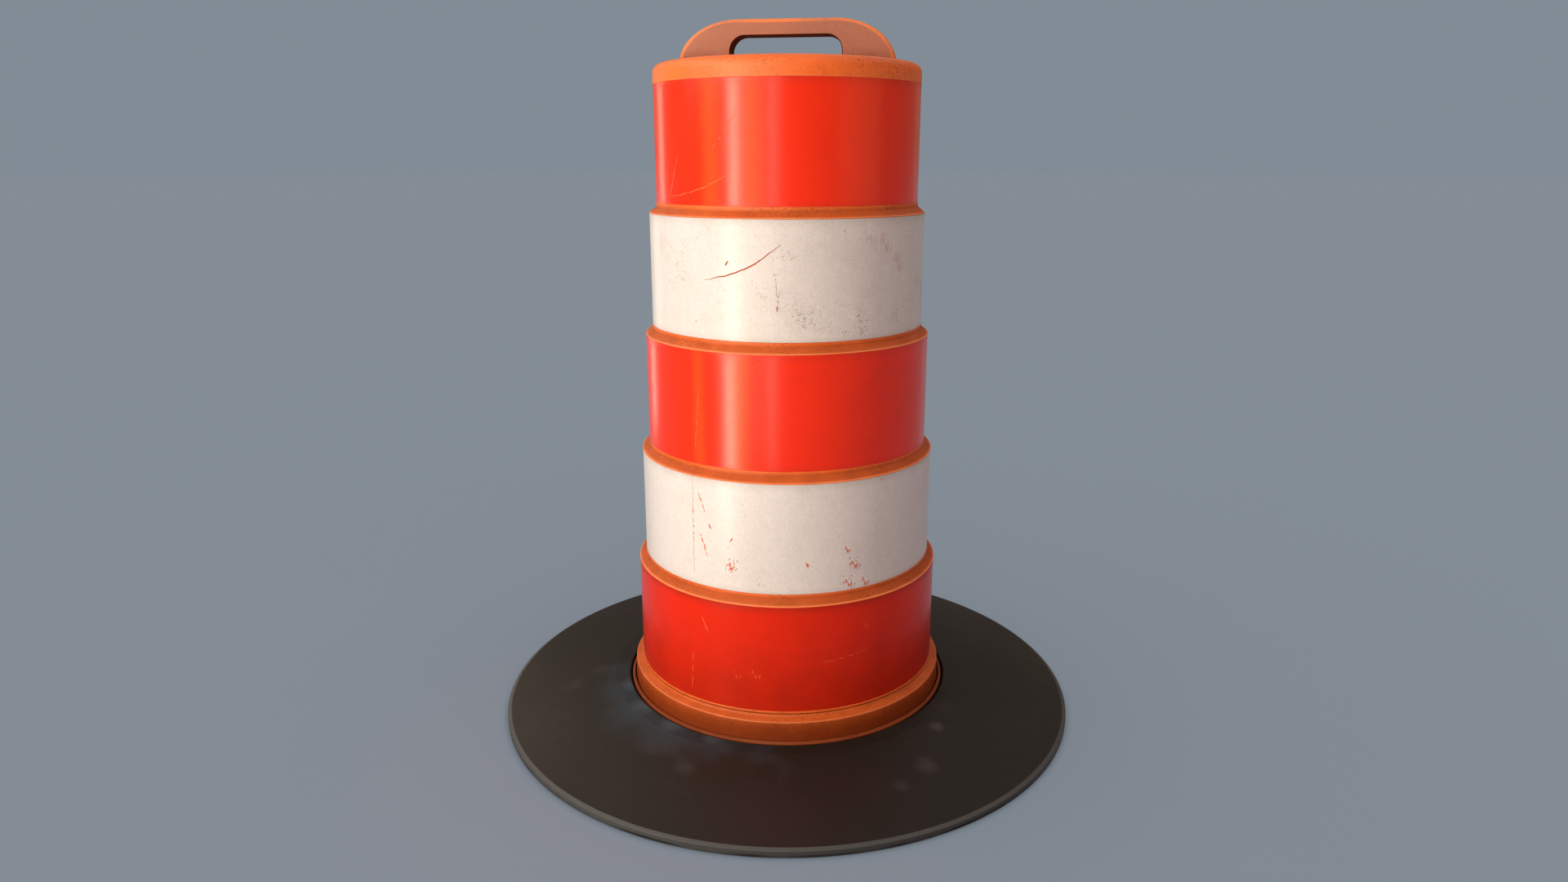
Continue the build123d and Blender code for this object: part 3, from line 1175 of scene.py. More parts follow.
@dataclass(frozen=True)
class TyreRubber:
    """Old tyre rubber: dusty, smudged, with a pale rim that is partly worn and partly a painted highlight on
    its chamfer, and patches that include a painted sheen and glints near the bore.
    """

    name: str
    colour: Rgb
    warm: Rgb
    dust: Rgb
    rim: Rgb
    hazes: Sequence[Haze] = ()

    def build(self) -> Material:
        """Builds the finish.

        Returns:
            The material.
        """
        material, graph, shader = new_material(self.name)
        put = EFFECTS.place
        tone = put(graph, Effect.MOTTLE, "Tone", Scale=5.0, Contrast=2.0)
        hue = graph.mix(tone, self.warm, self.colour)
        for haze in self.hazes:
            hue = haze.lay(graph, hue, 0.3)
        smudges = graph.noise(graph.stretched(graph.body(), 0.5, 7.0, 4.0), 1.6, 5, 0.62)
        smudge = graph.ramp(smudges, 0.6, 0.8)
        hue = graph.tint(hue, self.dust, smudge, 0.08)
        specks = put(graph, Effect.SPECKLE, "Mask", Scale=380.0, Amount=0.5, Patch_Scale=6.0)
        hue = graph.tint(hue, self.dust, specks, 0.2)
        hairs = put(graph, Effect.FINE_SCRATCHES, "Mask", Amount=0.4, Patch_Scale=7.0)
        hue = graph.tint(hue, self.dust, hairs, 0.16)
        # pale rim: worn rubber, and a painted highlight on the chamfer
        edges = put(graph, Effect.EDGE_WEAR, "Mask", Amount=1.6, Scale=60.0, Breakup=0.2)
        hue = graph.tint(hue, self.rim, edges, 0.8)
        graph.feed(shader.inputs["Base Color"], hue)
        rough = graph.total(0.5, (smudge, 0.16), (graph.centred(tone), 0.2), (hairs, 0.1))
        graph.feed(shader.inputs["Roughness"], rough)
        grain = put(graph, Effect.GRAIN, "Height", Scale=620.0, Waves=1.2)
        cuts = graph.times(hairs, -1.0)
        put_bump(graph, shader, ((grain, 0.00016), (cuts, 0.0001)))
        shader.inputs["IOR"].default_value = 1.52
        shader.inputs["Specular IOR Level"].default_value = 0.19
        return material


@dataclass(frozen=True)
class Metal:
    """Plated or turned metal: fine scratches, dull patches and handling marks."""

    name: str
    colour: Rgb
    dull: Rgb
    roughness: float = 0.32
    scratches: float = 0.5

    def build(self) -> Material:
        """Builds the finish.

        Returns:
            The material.
        """
        material, graph, shader = new_material(self.name)
        put = EFFECTS.place
        tone = put(graph, Effect.MOTTLE, "Tone", Scale=60.0, Contrast=2.4)
        hue = graph.mix(tone, self.dull, self.colour)
        specks = put(graph, Effect.SPECKLE, "Mask", Scale=1500.0, Amount=0.5, Patch_Scale=90.0)
        hue = graph.tint(hue, self.dull, specks, 0.5)
        graph.feed(shader.inputs["Base Color"], hue)
        streaks = graph.noise(graph.stretched(graph.body(), 0.3, 2600.0, 90.0), 1.0, 2, 0.5)
        rough = graph.total(self.roughness, (specks, 0.25), (streaks, self.scratches * 0.2))
        graph.feed(shader.inputs["Roughness"], rough)
        put_bump(graph, shader, ((streaks, 0.00002),))
        shader.inputs["Metallic"].default_value = 1.0
        return material


# the dirt colour, a deep burnt orange, is also the colour of the plastic's painted shade
ORANGE = MouldedPlastic(
    "drum_orange",
    colour=linear(240, 114, 42), deep=linear(224, 94, 24), worn_and_lit=linear(246, 136, 80),
    dirt_and_shade=linear(96, 34, 6), shine=0.5, scratches=0.7, mottle=1.8, shade_and_dirtiness=0.9, flecks=0.5,
)
# painted shade: the handle is given a darker, pinkish brown orange than the drum
SHADED_HANDLE_ORANGE = MouldedPlastic(
    "handle_orange",
    colour=linear(188, 124, 98), deep=linear(162, 104, 82), worn_and_lit=linear(246, 134, 70),
    dirt_and_shade=linear(50, 24, 16), roughness=0.55, shade_and_dirtiness=0.92, shade_and_dirt_height=0.01, shine=0.25, mottle=1.6,
    wear_and_highlight=0.8, flecks=0.16,
)
TRAY_ORANGE = MouldedPlastic(
    "tray_orange",
    colour=linear(142, 58, 22), deep=linear(120, 48, 16), worn_and_lit=linear(150, 72, 36),
    dirt_and_shade=linear(58, 30, 16), roughness=0.55, shade_and_dirtiness=0.95, shade_and_dirt_height=0.05, shine=0.2,
)
# SHEEN and GLINT are painted: a bluish reflection and brighter glints near the bore; PALE is dust and WARM a
# warmer tone
SHEEN = linear(38, 48, 57)
GLINT = linear(66, 78, 88)
WARM = linear(33, 18, 19)
PALE = linear(86, 84, 82)
RUBBER = TyreRubber(
    "ring_rubber",
    colour=linear(26, 22, 19), warm=linear(24, 18, 14), dust=linear(104, 100, 98), rim=linear(70, 70, 71),
    hazes=(
        Haze(-83, 385, 120, WARM, 0.8), Haze(-66, 330, 80, WARM, 0.6), Haze(-166, 256, 38, SHEEN, 0.5),
        Haze(-152, 250, 62, SHEEN, 0.8), Haze(-136, 249, 80, SHEEN, 0.95), Haze(-120, 249, 76, SHEEN, 0.9),
        Haze(-104, 249, 58, SHEEN, 0.65), Haze(-90, 254, 36, SHEEN, 0.4), Haze(-162, 327, 26, PALE, 0.1),
        Haze(-168, 290, 22, PALE, 0.1), Haze(-34, 281, 15, PALE, 0.3), Haze(-48, 330, 24, PALE, 0.18),
        Haze(-57, 348, 16, PALE, 0.12), Haze(-107, 314, 20, PALE, 0.08), Haze(-47, 433, 24, PALE, 0.08),
        Haze(-154, 244, 24, GLINT, 0.5), Haze(-138, 244, 28, GLINT, 0.65), Haze(-122, 244, 26, GLINT, 0.6),
        Haze(-106, 244, 20, GLINT, 0.4), Haze(60, 330, 40, PALE, 0.14), Haze(150, 350, 50, WARM, 0.5),
        Haze(100, 290, 60, SHEEN, 0.5),
    ),
)
ZINC = Metal("zinc_steel", colour=linear(196, 198, 202), dull=linear(140, 140, 138))
WIRE = Metal("bead_steel", colour=linear(168, 132, 92), dull=linear(110, 84, 60), roughness=0.38)
BRASS = Metal("insert_brass", colour=linear(214, 176, 104), dull=linear(160, 122, 66), roughness=0.26)


# ---------------------------------------------------------------- the object's own pieces


def dress(piece: Piece, material: Material) -> None:
    """Puts one material on every slot of a piece."""
    if not piece.data.materials:
        piece.data.materials.append(material)
    for number in range(len(piece.data.materials)):
        piece.data.materials[number] = material


def dress_node(node: str, material: Material) -> None:
    """Puts a finish on a CAD piece that keeps its own shape, and reports it."""
    dress(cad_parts[node], material)
    LOG.info("%s: dressed as it is", node)


def settle(piece: Piece, body: str, slot: str, *nodes: str) -> None:
    """Makes a piece ride on a body and stand for CAD nodes.

    Args:
        piece: the new piece.
        body: the body it rides on.
        slot: the record's material slot; not used.
        *nodes: the CAD nodes that it replaces.
    """
    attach(piece, body)
    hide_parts(*nodes)
    LOG.info("%s: %d faces on body %s", piece.name, len(piece.data.polygons), body)


def span(node: str) -> tuple[float, float, float]:
    """Gives a turned node's outer radius, bottom and top.

    Args:
        node: the CAD node.

    Returns:
        The three in millimetres.
    """
    low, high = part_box(node)
    return (high[0] - low[0]) / 2 / MM, low[2] / MM, high[2] / MM


@dataclass
class DrumShell:
    """The stepped shell, from its deck to the foot that stands in the tray."""

    wall: float = SHELL_WALL
    growth: float = 10.0
    shoulder: float = 22.2
    recess: float = 0.9
    margin: float = 0.25
    ledge: float = 5.3
    slope: float = 6.7
    slope_inset: float = 2.3
    flare: float = 0.3
    lip_round: float = 1.0
    thickness: float = SHEETING_THICKNESS
    strip: float = 6.9
    strip_flare: float = 1.8
    bevel_width: float = 8.8
    bevel_height: float = 3.3
    groove: float = 3.5
    skirt_break: float = 39.5
    notch_top: float = 19.0
    notch_count: int = 6
    waves: float = SHELL_WAVES

    def sections(self) -> list[Place]:
        """Gives each section's radius and its recess's bottom and top, from the top down."""
        nodes = sorted(
            (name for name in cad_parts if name.startswith("sheeting_")),
            key=lambda name: -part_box(name)[1][2],
        )
        top_radius = (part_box(nodes[0])[1][0] / MM) + self.recess - self.thickness
        places = []
        for number, name in enumerate(nodes):
            _, low, high = span(name)
            places.append((top_radius + self.growth * number, low - self.margin, high + self.margin))
        return places

    def _recess(self, radius: float, low: float, high: float) -> list[Corner]:
        """Gives the corners of one section's recess, from its top down.

        Args:
            radius: the section's radius.
            low: height of the recess's lower edge.
            high: height of its upper edge.

        Returns:
            The four corners.
        """
        inner = radius - self.recess
        # painted shade with dirt in the recess's inner corners
        return [Corner(radius, high, 0.3, 0.8, 0.1), Corner(inner, high, 0.15, 0, 0.5),
                Corner(inner, low, 0.15, 0, 0.5), Corner(radius, low, 0.3, 0.5, 0.3)]

    def _step(self, number: int, radius: float, on: float, low: float) -> list[Corner]:
        """Gives the corners of the sloped step between two sections.

        Args:
            number: the upper section's number, from 0 at the top.
            radius: its radius.
            on: the next section's radius.
            low: height of its recess's lower edge.

        Returns:
            The ledge, the slope's foot and the lip.
        """
        ledge = low - self.ledge
        foot = ledge - self.slope
        # painted shade with dirt on the slope and its foot, more on the lower steps
        return [Corner(radius + self.flare, ledge, 1.0, 0.3, 0.56 + 0.02 * number),
                Corner(on - self.slope_inset, foot, 0.8, 0.9, 0.5 + 0.03 * number),
                Corner(on, foot - self.lip_round, 0.7, 1.0, 0.26)]

    def _foot(self, last: float, bevel: float) -> list[Corner]:
        """Gives the corners under the lowest recess: a groove, the bevel and the skirt.

        Args:
            last: the lowest section's radius.
            bevel: height of the bevel's upper edge.

        Returns:
            The corners down to the bottom edge.
        """
        skirt, bottom, _ = span("drum_shell")
        wide, low = last + self.strip_flare + self.bevel_width, bevel - self.bevel_height
        groove = [
            Corner(last + out, bevel + self.groove + rise, bend, 0, dirt_and_shade) for rise, out, bend, dirt_and_shade in
            ((0.9, 0.3, 0.3, 0.55), (0.4, -0.2, 0.2, 0.9), (-0.4, -0.2, 0.2, 0.9), (-0.9, 0.5, 0.3, 0.5))
        ]
        # painted shade with dirt in the groove and on the skirt, darkest low on the skirt
        return groove + [
            Corner(last + self.strip_flare, bevel, 0.8, 0.1, 0.56), Corner(wide, low, 1.4, 1.0, 0.55),
            Corner(wide + 0.15, low - 3, 0, 0, 0.72), Corner(skirt, self.skirt_break, 0.5, 0, 1.05),
            Corner(skirt, self.notch_top, 0, 0, 1.3), Corner(skirt, bottom, 0.6, 0.4, 1.3),
        ]

    def _outside(self) -> list[Corner]:
        """Gives the outside corners from the deck's middle to the bottom edge."""
        deck = span("drum_shell")[2]
        sections = self.sections()
        first, last = sections[0][0], sections[-1][0]
        corners = [Corner(0, deck), Corner(first * 0.5, deck, grime=0.12),
                   Corner(first, deck, self.shoulder, 0.12, 0.05)]
        for number, (radius, low, high) in enumerate(sections):
            corners += self._recess(radius, low, high)
            if number < len(sections) - 1:
                corners += self._step(number, radius, sections[number + 1][0], low)
        return corners + self._foot(last, sections[-1][1] - self.strip)

    def _inside(self) -> list[Corner]:
        """Gives the inside corners from the bottom edge to the deck's middle."""
        skirt, bottom, deck = span("drum_shell")
        sections = self.sections()
        wall = self.wall
        drop = wall * math.tan(math.radians(22.5))
        bevel = sections[-1][1] - self.strip
        foot_radius = sections[-1][0] + self.strip_flare + self.bevel_width
        corners = [
            Corner(skirt - wall, bottom, 0.6, 0.3, 1.0), Corner(skirt - wall, self.notch_top, 0, 0, 0.9),
            Corner(skirt - wall, self.skirt_break, 0.5, 0, 0.7),
            Corner(foot_radius - wall, bevel - self.bevel_height - wall, 1.0, 0, 0.5),
            Corner(sections[-1][0] - wall, bevel - drop, 1.5, 0, 0.4),
        ]
        for (radius, low, _), (on, _, _) in reversed(list(zip(sections, sections[1:]))):
            ledge = low - self.ledge
            corners += [Corner(on - wall, ledge - self.slope - drop, 1.5, 0, 0.2),
                        Corner(radius - wall, ledge - drop, 1.5, 0, 0.2)]
        corners += [Corner(sections[0][0] - wall, deck - wall, self.shoulder - wall, 0, 0.1)]
        return corners + [Corner(0, deck - wall)]

    def build(self) -> None:
        """Turns the shell, cuts its notches and dresses it."""
        outline = Outline(self._outside() + self._inside(), closed=False, pitch=9.0)
        notches = Notches(self.notch_count, self.notch_top)
        warp = wall_waves(self.waves)
        piece = Turned("shell", outline, warp=warp, notches=notches).build()
        dress(piece, ORANGE.build())
        settle(piece, "drum", "drum_plastic", "drum_shell")


@dataclass
class SheetingStrip:
    """One strip of sheeting, whose end laps over its start."""

    node: str
    slot: str
    finish: ReflectiveSheeting
    thickness: float = SHEETING_THICKNESS
    lap: float = 25.0
    ramp: float = 4.0
    round: float = 0.16
    waves: float = SHELL_WAVES

    @staticmethod
    def radius_of(node: str) -> float:
        """Gives the strip's own outer radius, which its node's +X side shows."""
        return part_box(node)[1][0] / MM

    def _section(self, inner: float, low: float, high: float) -> list[Station]:
        """Gives the strip's cross-section, ready to be swept round."""
        outer = inner + self.thickness
        # painted shade with dirt along the strip's top and bottom edges, fading over 13 and 9 mm
        corners = [
            Corner(outer, high - 13, 0, 0, 0.1), Corner(outer, high, self.round, 1.0, 0.6),
            Corner(inner, high, self.round, 0.3, 0.6), Corner(inner, low, self.round, 0.3, 0.6),
            Corner(outer, low, self.round, 1.0, 0.5), Corner(outer, low + 9, 0, 0, 0.1),
        ]
        return Outline(corners, pitch=9.0, edge_band_reach=0.8).stations()

    def build(self) -> None:
        """Sweeps the strip round the drum, laps it and dresses it."""
        _, low, high = span(self.node)
        outer = self.radius_of(self.node)
        inner = outer - self.thickness
        stations = self._section(inner, low, high)
        sweep = 2 * math.pi + self.lap / outer
        steps = AROUND + 12
        warp = wall_waves(self.waves)
        points, wear_and_highlight, grime, flat = [], [], [], []
        for step in range(steps + 1):
            turn = sweep * step / steps
            past = max(0.0, turn - 2 * math.pi + self.ramp / outer) * outer / self.ramp
            lift = self.thickness * 1.02 * min(1.0, past)
            angle = self.finish.strip.seam + turn
            for radius, height, worn_and_lit, dirt_and_shade in stations:
                reach = (radius + lift + warp(angle, height)) * MM
                points.append((reach * math.cos(angle), reach * math.sin(angle), height * MM))
                flat.append((turn * outer * MM, (height - low) * MM))
                wear_and_highlight.append(max(worn_and_lit, 0.9 if step in (0, steps) else 0.0))
                grime.append(dirt_and_shade)
        faces = swept_faces(steps + 1, len(stations), flip=False)
        skins = [[flat[at] for at in face] for face in faces]
        piece = as_object(self.node.replace("sheeting", "strip"), points, faces, skins, wear_and_highlight, grime)
        dress(piece, self.finish.build())
        settle(piece, "drum", self.slot, self.node)


@dataclass
class CarryHandle:
    """The arch plate over the deck, with its finger slot."""

    corner_run: float = 82.0
    slot_half: float = 75.0
    slot_height: float = 37.0
    slot_round: float = 20.0
    edge: float = 4.5
    slot_edge: float = 1.5
    corner_steps: int = 26
    top_steps: int = 24
    across: int = 6
    through: int = 5
    edge_steps: int = 5

    def _rails(self, half: float, height: float) -> list[tuple[Vector, Vector]]:
        """Pairs points of the outer outline with points of the slot.

        Args:
            half: half the handle's length.
            height: its height over the deck.

        Returns:
            Outer and inner points along the arch, in millimetres over the deck.
        """
        flat = half - self.corner_run
        slot_flat = self.slot_half - self.slot_round
        rise = self.slot_height - self.slot_round
        bend = math.pi / 2 * self.slot_round
        rails = []
        for step in range(self.corner_steps):
            share = step / self.corner_steps
            angle = math.pi / 2 * share
            outer = Vector((flat + self.corner_run * math.cos(angle), height * math.sin(angle)))
            done = share * (rise + bend)
            if done < rise:
                inner = Vector((self.slot_half, done))
            else:
                turn = (done - rise) / self.slot_round
                inner = Vector((slot_flat + self.slot_round * math.cos(turn),
                                rise + self.slot_round * math.sin(turn)))
            rails.append((outer, inner))
        for step in range(self.top_steps + 1):
            share = 1 - 2 * step / self.top_steps
            rails.append((Vector((flat * share, height)), Vector((slot_flat * share, self.slot_height))))
        mirror = [(Vector((-o.x, o.y)), Vector((-i.x, i.y))) for o, i in rails[:self.corner_steps]]
        return rails + mirror[::-1]

    def _section(self, width: float, half_depth: float) -> list[Place]:
        """Gives the section's loop: how far out from the slot, how deep, and its edge wear with painted
        highlight.
        """
        loop = []
        for bend, at, sign, side in (
            (self.edge, width, 1, 1), (self.edge, width, 1, -1),
            (self.slot_edge, 0.0, -1, -1), (self.slot_edge, 0.0, -1, 1),
        ):
            quarter = []
            for step in range(self.edge_steps + 1):
                angle = math.pi / 2 * step / self.edge_steps
                out = at - sign * bend * (1 - math.cos(angle))
                deep = side * (half_depth - bend * (1 - math.sin(angle)))
                quarter.append((out, deep, 1.0 if sign > 0 else 0.7))
            loop.append(quarter)
        quarters = [loop[0][::-1], loop[1], loop[2][::-1], loop[3]]
        result = []
        for number, quarter in enumerate(quarters):
            after = quarters[(number + 1) % len(quarters)]
            pieces = self.across if number % 2 else self.through
            result += quarter + self._between(quarter[-1], after[0], pieces)
        return result

    @staticmethod
    def _between(first: Place, last: Place, count: int) -> list[Place]:
        """Divides a straight run of the section, with no edge wear or highlight on it."""
        shares = [0.08] + [k / count for k in range(1, count)] + [0.92]
        out, deep = last[0] - first[0], last[1] - first[1]
        return [(first[0] + out * share, first[1] + deep * share, 0.0) for share in shares]

    def build(self) -> None:
        """Sweeps the section along the arch and dresses it."""
        low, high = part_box("carry_handle")
        half, height = high[0] / MM, (high[2] - low[2]) / MM
        depth = (high[1] - low[1]) / MM / 2
        points, wear_and_highlight, grime, flat = [], [], [], []
        rails = self._rails(half, height)
        for outer, inner in rails:
            out = outer - inner
            width = out.length
            section = self._section(width, depth)
            for reach, deep, worn_and_lit in section:
                spot = inner + out * (reach / width)
                points.append((spot.x * MM, deep * MM, low[2] + spot.y * MM))
                flat.append((spot.x * MM, (spot.y + deep * 0.5) * MM))
                wear_and_highlight.append(worn_and_lit)
                # painted shade: dark at the slot's edge, and darker towards the deck
                grime.append(0.95 if reach < self.slot_edge * 0.7 else max(0.0, 0.55 - spot.y / 46))
        faces = swept_faces(len(rails), len(section), flip=True)
        skins = [[flat[at] for at in face] for face in faces]
        piece = as_object("handle", points, faces, skins, wear_and_highlight, grime)
        dress(piece, SHADED_HANDLE_ORANGE.build())
        settle(piece, "drum", "handle_plastic", "carry_handle")


@dataclass
class BaseTray:
    """The tray that carries the drum's foot, with its keys and drain holes."""

    floor: float = 4.0
    wall: float = 3.0
    riser_height: float = 39.5
    rim_width: float = 4.2
    rim_drop: float = 2.6
    rim_bead: float = 3.0
    clearance: float = 1.8
    hole: float = 150.0
    curb: float = 12.0
    lead_in: float = 2.0
    key_width: float = 9.0
    key_height: float = 14.0
    keys: int = 6
    drain: float = 10.0
    drain_circle: float = 188.0

    def _outline(self) -> Outline:
        """Gives the tray's outline from its curb round to its flange."""
        flange, _, top = span("base_tray")
        skirt = span("drum_shell")[0]
        riser, plug = skirt + self.clearance, skirt - SHELL_WALL - self.clearance
        rim_low = self.riser_height - self.rim_drop - self.rim_bead
        # painted shade with dirt in the channel and on the floor; the rims' pale edges are wear with painted
        # highlight
        corners = [
            Corner(self.hole, 0, 0.5, 0.3, 1.0), Corner(self.hole, self.curb, 1.2, 0.5, 0.3),
            Corner(self.hole + self.wall, self.curb, 1.2, 0.5, 0.3),
            Corner(self.hole + self.wall, self.floor, 1.5, 0, 0.9),
            Corner(plug - self.wall, self.floor, 1.5, 0, 0.9), Corner(plug - self.wall, top, 0.8, 0.5, 0.2),
            Corner(plug - self.lead_in / 2, top, 0.8, 0.5, 0.2),
            Corner(plug, top - self.lead_in, 0.8, 0.3, 0.3),
            Corner(plug, self.floor, 0.6, 0, 1.0), Corner(riser, self.floor, 0.6, 0, 1.0),
            Corner(riser, self.riser_height, 0.4, 0.5, 0.7),
            Corner(riser + 1.0, self.riser_height, 0.5, 0.6, 0.5),
            Corner(riser + self.rim_width, self.riser_height - self.rim_drop, 1.1, 0.8, 0.45),
            Corner(riser + self.rim_width, rim_low, 0.8, 0.2, 0.9),
            Corner(riser + self.wall, rim_low, 0.5, 0, 1.0),
            Corner(riser + self.wall, self.floor, 1.0, 0, 1.0),
            Corner(flange, self.floor, 1.0, 0.6, 0.8), Corner(flange, 0, 0.5, 0.3, 1.0),
        ]
        return Outline(corners, pitch=12.0)

    def _key(self, number: int) -> Piece:
        """Makes one key, a rib with rounded edges across the channel.

        Args:
            number: which key, from +X round.

        Returns:
            The key's object.
        """
        skirt = span("drum_shell")[0]
        start, end = skirt - SHELL_WALL - self.clearance - 0.5, skirt + self.clearance + 0.5
        low, high = self.floor - 0.5, self.floor + self.key_height
        half, cut = self.key_width / 2, 0.9
        angle = 2 * math.pi * number / self.keys
        cosine, sine = math.cos(angle), math.sin(angle)
        section = [(-half, low), (half, low), (half, high - cut), (half - cut * 0.3, high - cut * 0.3),
                   (half - cut, high), (-half + cut, high), (-half + cut * 0.3, high - cut * 0.3),
                   (-half, high - cut)]
        points = [
            ((reach * cosine - side * sine) * MM, (reach * sine + side * cosine) * MM, up * MM)
            for reach in (start, end) for side, up in section
        ]
        faces = swept_faces(2, len(section), flip=True)
        skins = [[(points[at][0], points[at][2]) for at in face] for face in faces]
        # the key is darkened all over: painted shade with dirt
        return as_object("key_%d" % number, points, faces, skins, [0.0] * len(points), [0.7] * len(points))

    def _drill(self, piece: Piece) -> None:
        """Drills the drain holes through the web.

        Args:
            piece: the tray, whose mesh is changed.
        """
        for number in range(self.keys):
            angle = 2 * math.pi * (number + 0.5) / self.keys
            at = Vector((math.cos(angle), math.sin(angle), 0)) * self.drain_circle * MM
            outline = Outline([Corner(0, -2), Corner(self.drain, -2), Corner(self.drain, self.floor + 2),
                               Corner(0, self.floor + 2)], closed=False, pitch=20)
            drill = Turned("drill", outline, around=48).build()
            drill.data.transform(drill.matrix_world.Translation(at))
            cut = piece.modifiers.new("drain", "BOOLEAN")
            cut.operation, cut.solver, cut.object = "DIFFERENCE", "EXACT", drill
            with bpy.context.temp_override(object=piece, active_object=piece):
                bpy.ops.object.modifier_apply(modifier=cut.name)
            bpy.data.objects.remove(drill)

    def build(self) -> None:
        """Turns the tray, adds its keys, drills it and dresses it."""
        tray = Turned("tray", self._outline()).build()
        self._drill(tray)
        piece = join("tray", [tray] + [self._key(number) for number in range(self.keys)])
        dress(piece, TRAY_ORANGE.build())
        settle(piece, "base", "tray_plastic", "base_tray")


@dataclass
class BallastRing:
    """The tyre ring, thick at its bore and thin at its rim, hollow beneath."""

    bead_width: float = 23.0
    thickness: float = 16.0
    crown: float = 1.6
    seat: float = 4.0
    corner: float = 3.0
    rim_height: float = 8.3
    chamfer_width: float = 4.6
    chamfer_height: float = 2.2
    rest_width: float = 34.0
    hollow_step: float = 12.0
    clearance: float = 2.0
    skirt_to_rim: float = 6.0

    def _top(self, radius: float, rim: float, toe: float, bore_height: float) -> float:
        """Gives the crowned top's height at a radius."""
        edge = self.rim_height + self.chamfer_height
        share = (rim - radius) / (rim - toe)
        return edge + (bore_height - edge) * share + 4 * self.crown * share * (1 - share)

    def _outline(self) -> Outline:
        """Gives the ring's outline, from its seat on the tray round over its top."""
        outer, _, height = span("ballast_ring")
        bore = span("drum_shell")[0] + self.skirt_to_rim + self.clearance
        toe, rim = bore + self.bead_width, outer - self.chamfer_width
        hollow, rest = toe + self.hollow_step, rim - self.rest_width
        low, seat, corner = [], self.seat, self.corner
        for share in (0.25, 0.5, 0.75):
            radius = hollow + (rest - hollow) * share
            under = self._top(radius, rim, toe, height) - self.thickness
            low.append(Corner(radius, under + (0.4 if share > 0.7 else 0.0), 20.0))
        top = [Corner(rim - (rim - toe) * share, self._top(rim - (rim - toe) * share, rim, toe, height), 60.0)
               for share in (0.16, 0.33, 0.5, 0.67, 0.84)]
        # the rim and its chamfer are paled: wear, and a painted highlight on the chamfer
        corners = [
            Corner(bore, seat, corner, 0.1), Corner(bore, height, corner * 1.2, 0.05, 0.3),
            Corner(toe, height, 14.0, 0.0), *top[::-1],
            Corner(rim, self.rim_height + self.chamfer_height, 0.5, 0.75),
            Corner((rim + outer) / 2, self.rim_height + self.chamfer_height / 2, 0, 0.75),
            Corner(outer, self.rim_height, 0.5, 0.75), Corner(outer, self.rim_height / 2, 0, 0.6),
            Corner(outer, 0, 1.0, 0.3, 0.5),
            Corner(rest, 0, 3.0), *low[::-1],
            Corner(hollow, self._top(hollow, rim, toe, height) - self.thickness, 8.0),
            Corner(toe, seat, corner, 0.1),
        ]
        return Outline(corners, pitch=9.0, edge_band_reach=1.0)

    def build(self) -> None:
        """Turns the ring and dresses it and the wire inside it."""
        piece = Turned("ring", self._outline(), around=360).build()
        dress(piece, RUBBER.build())
        settle(piece, "ring", "ring_rubber", "ballast_ring")
        dress_node("bead_wire", WIRE.build())


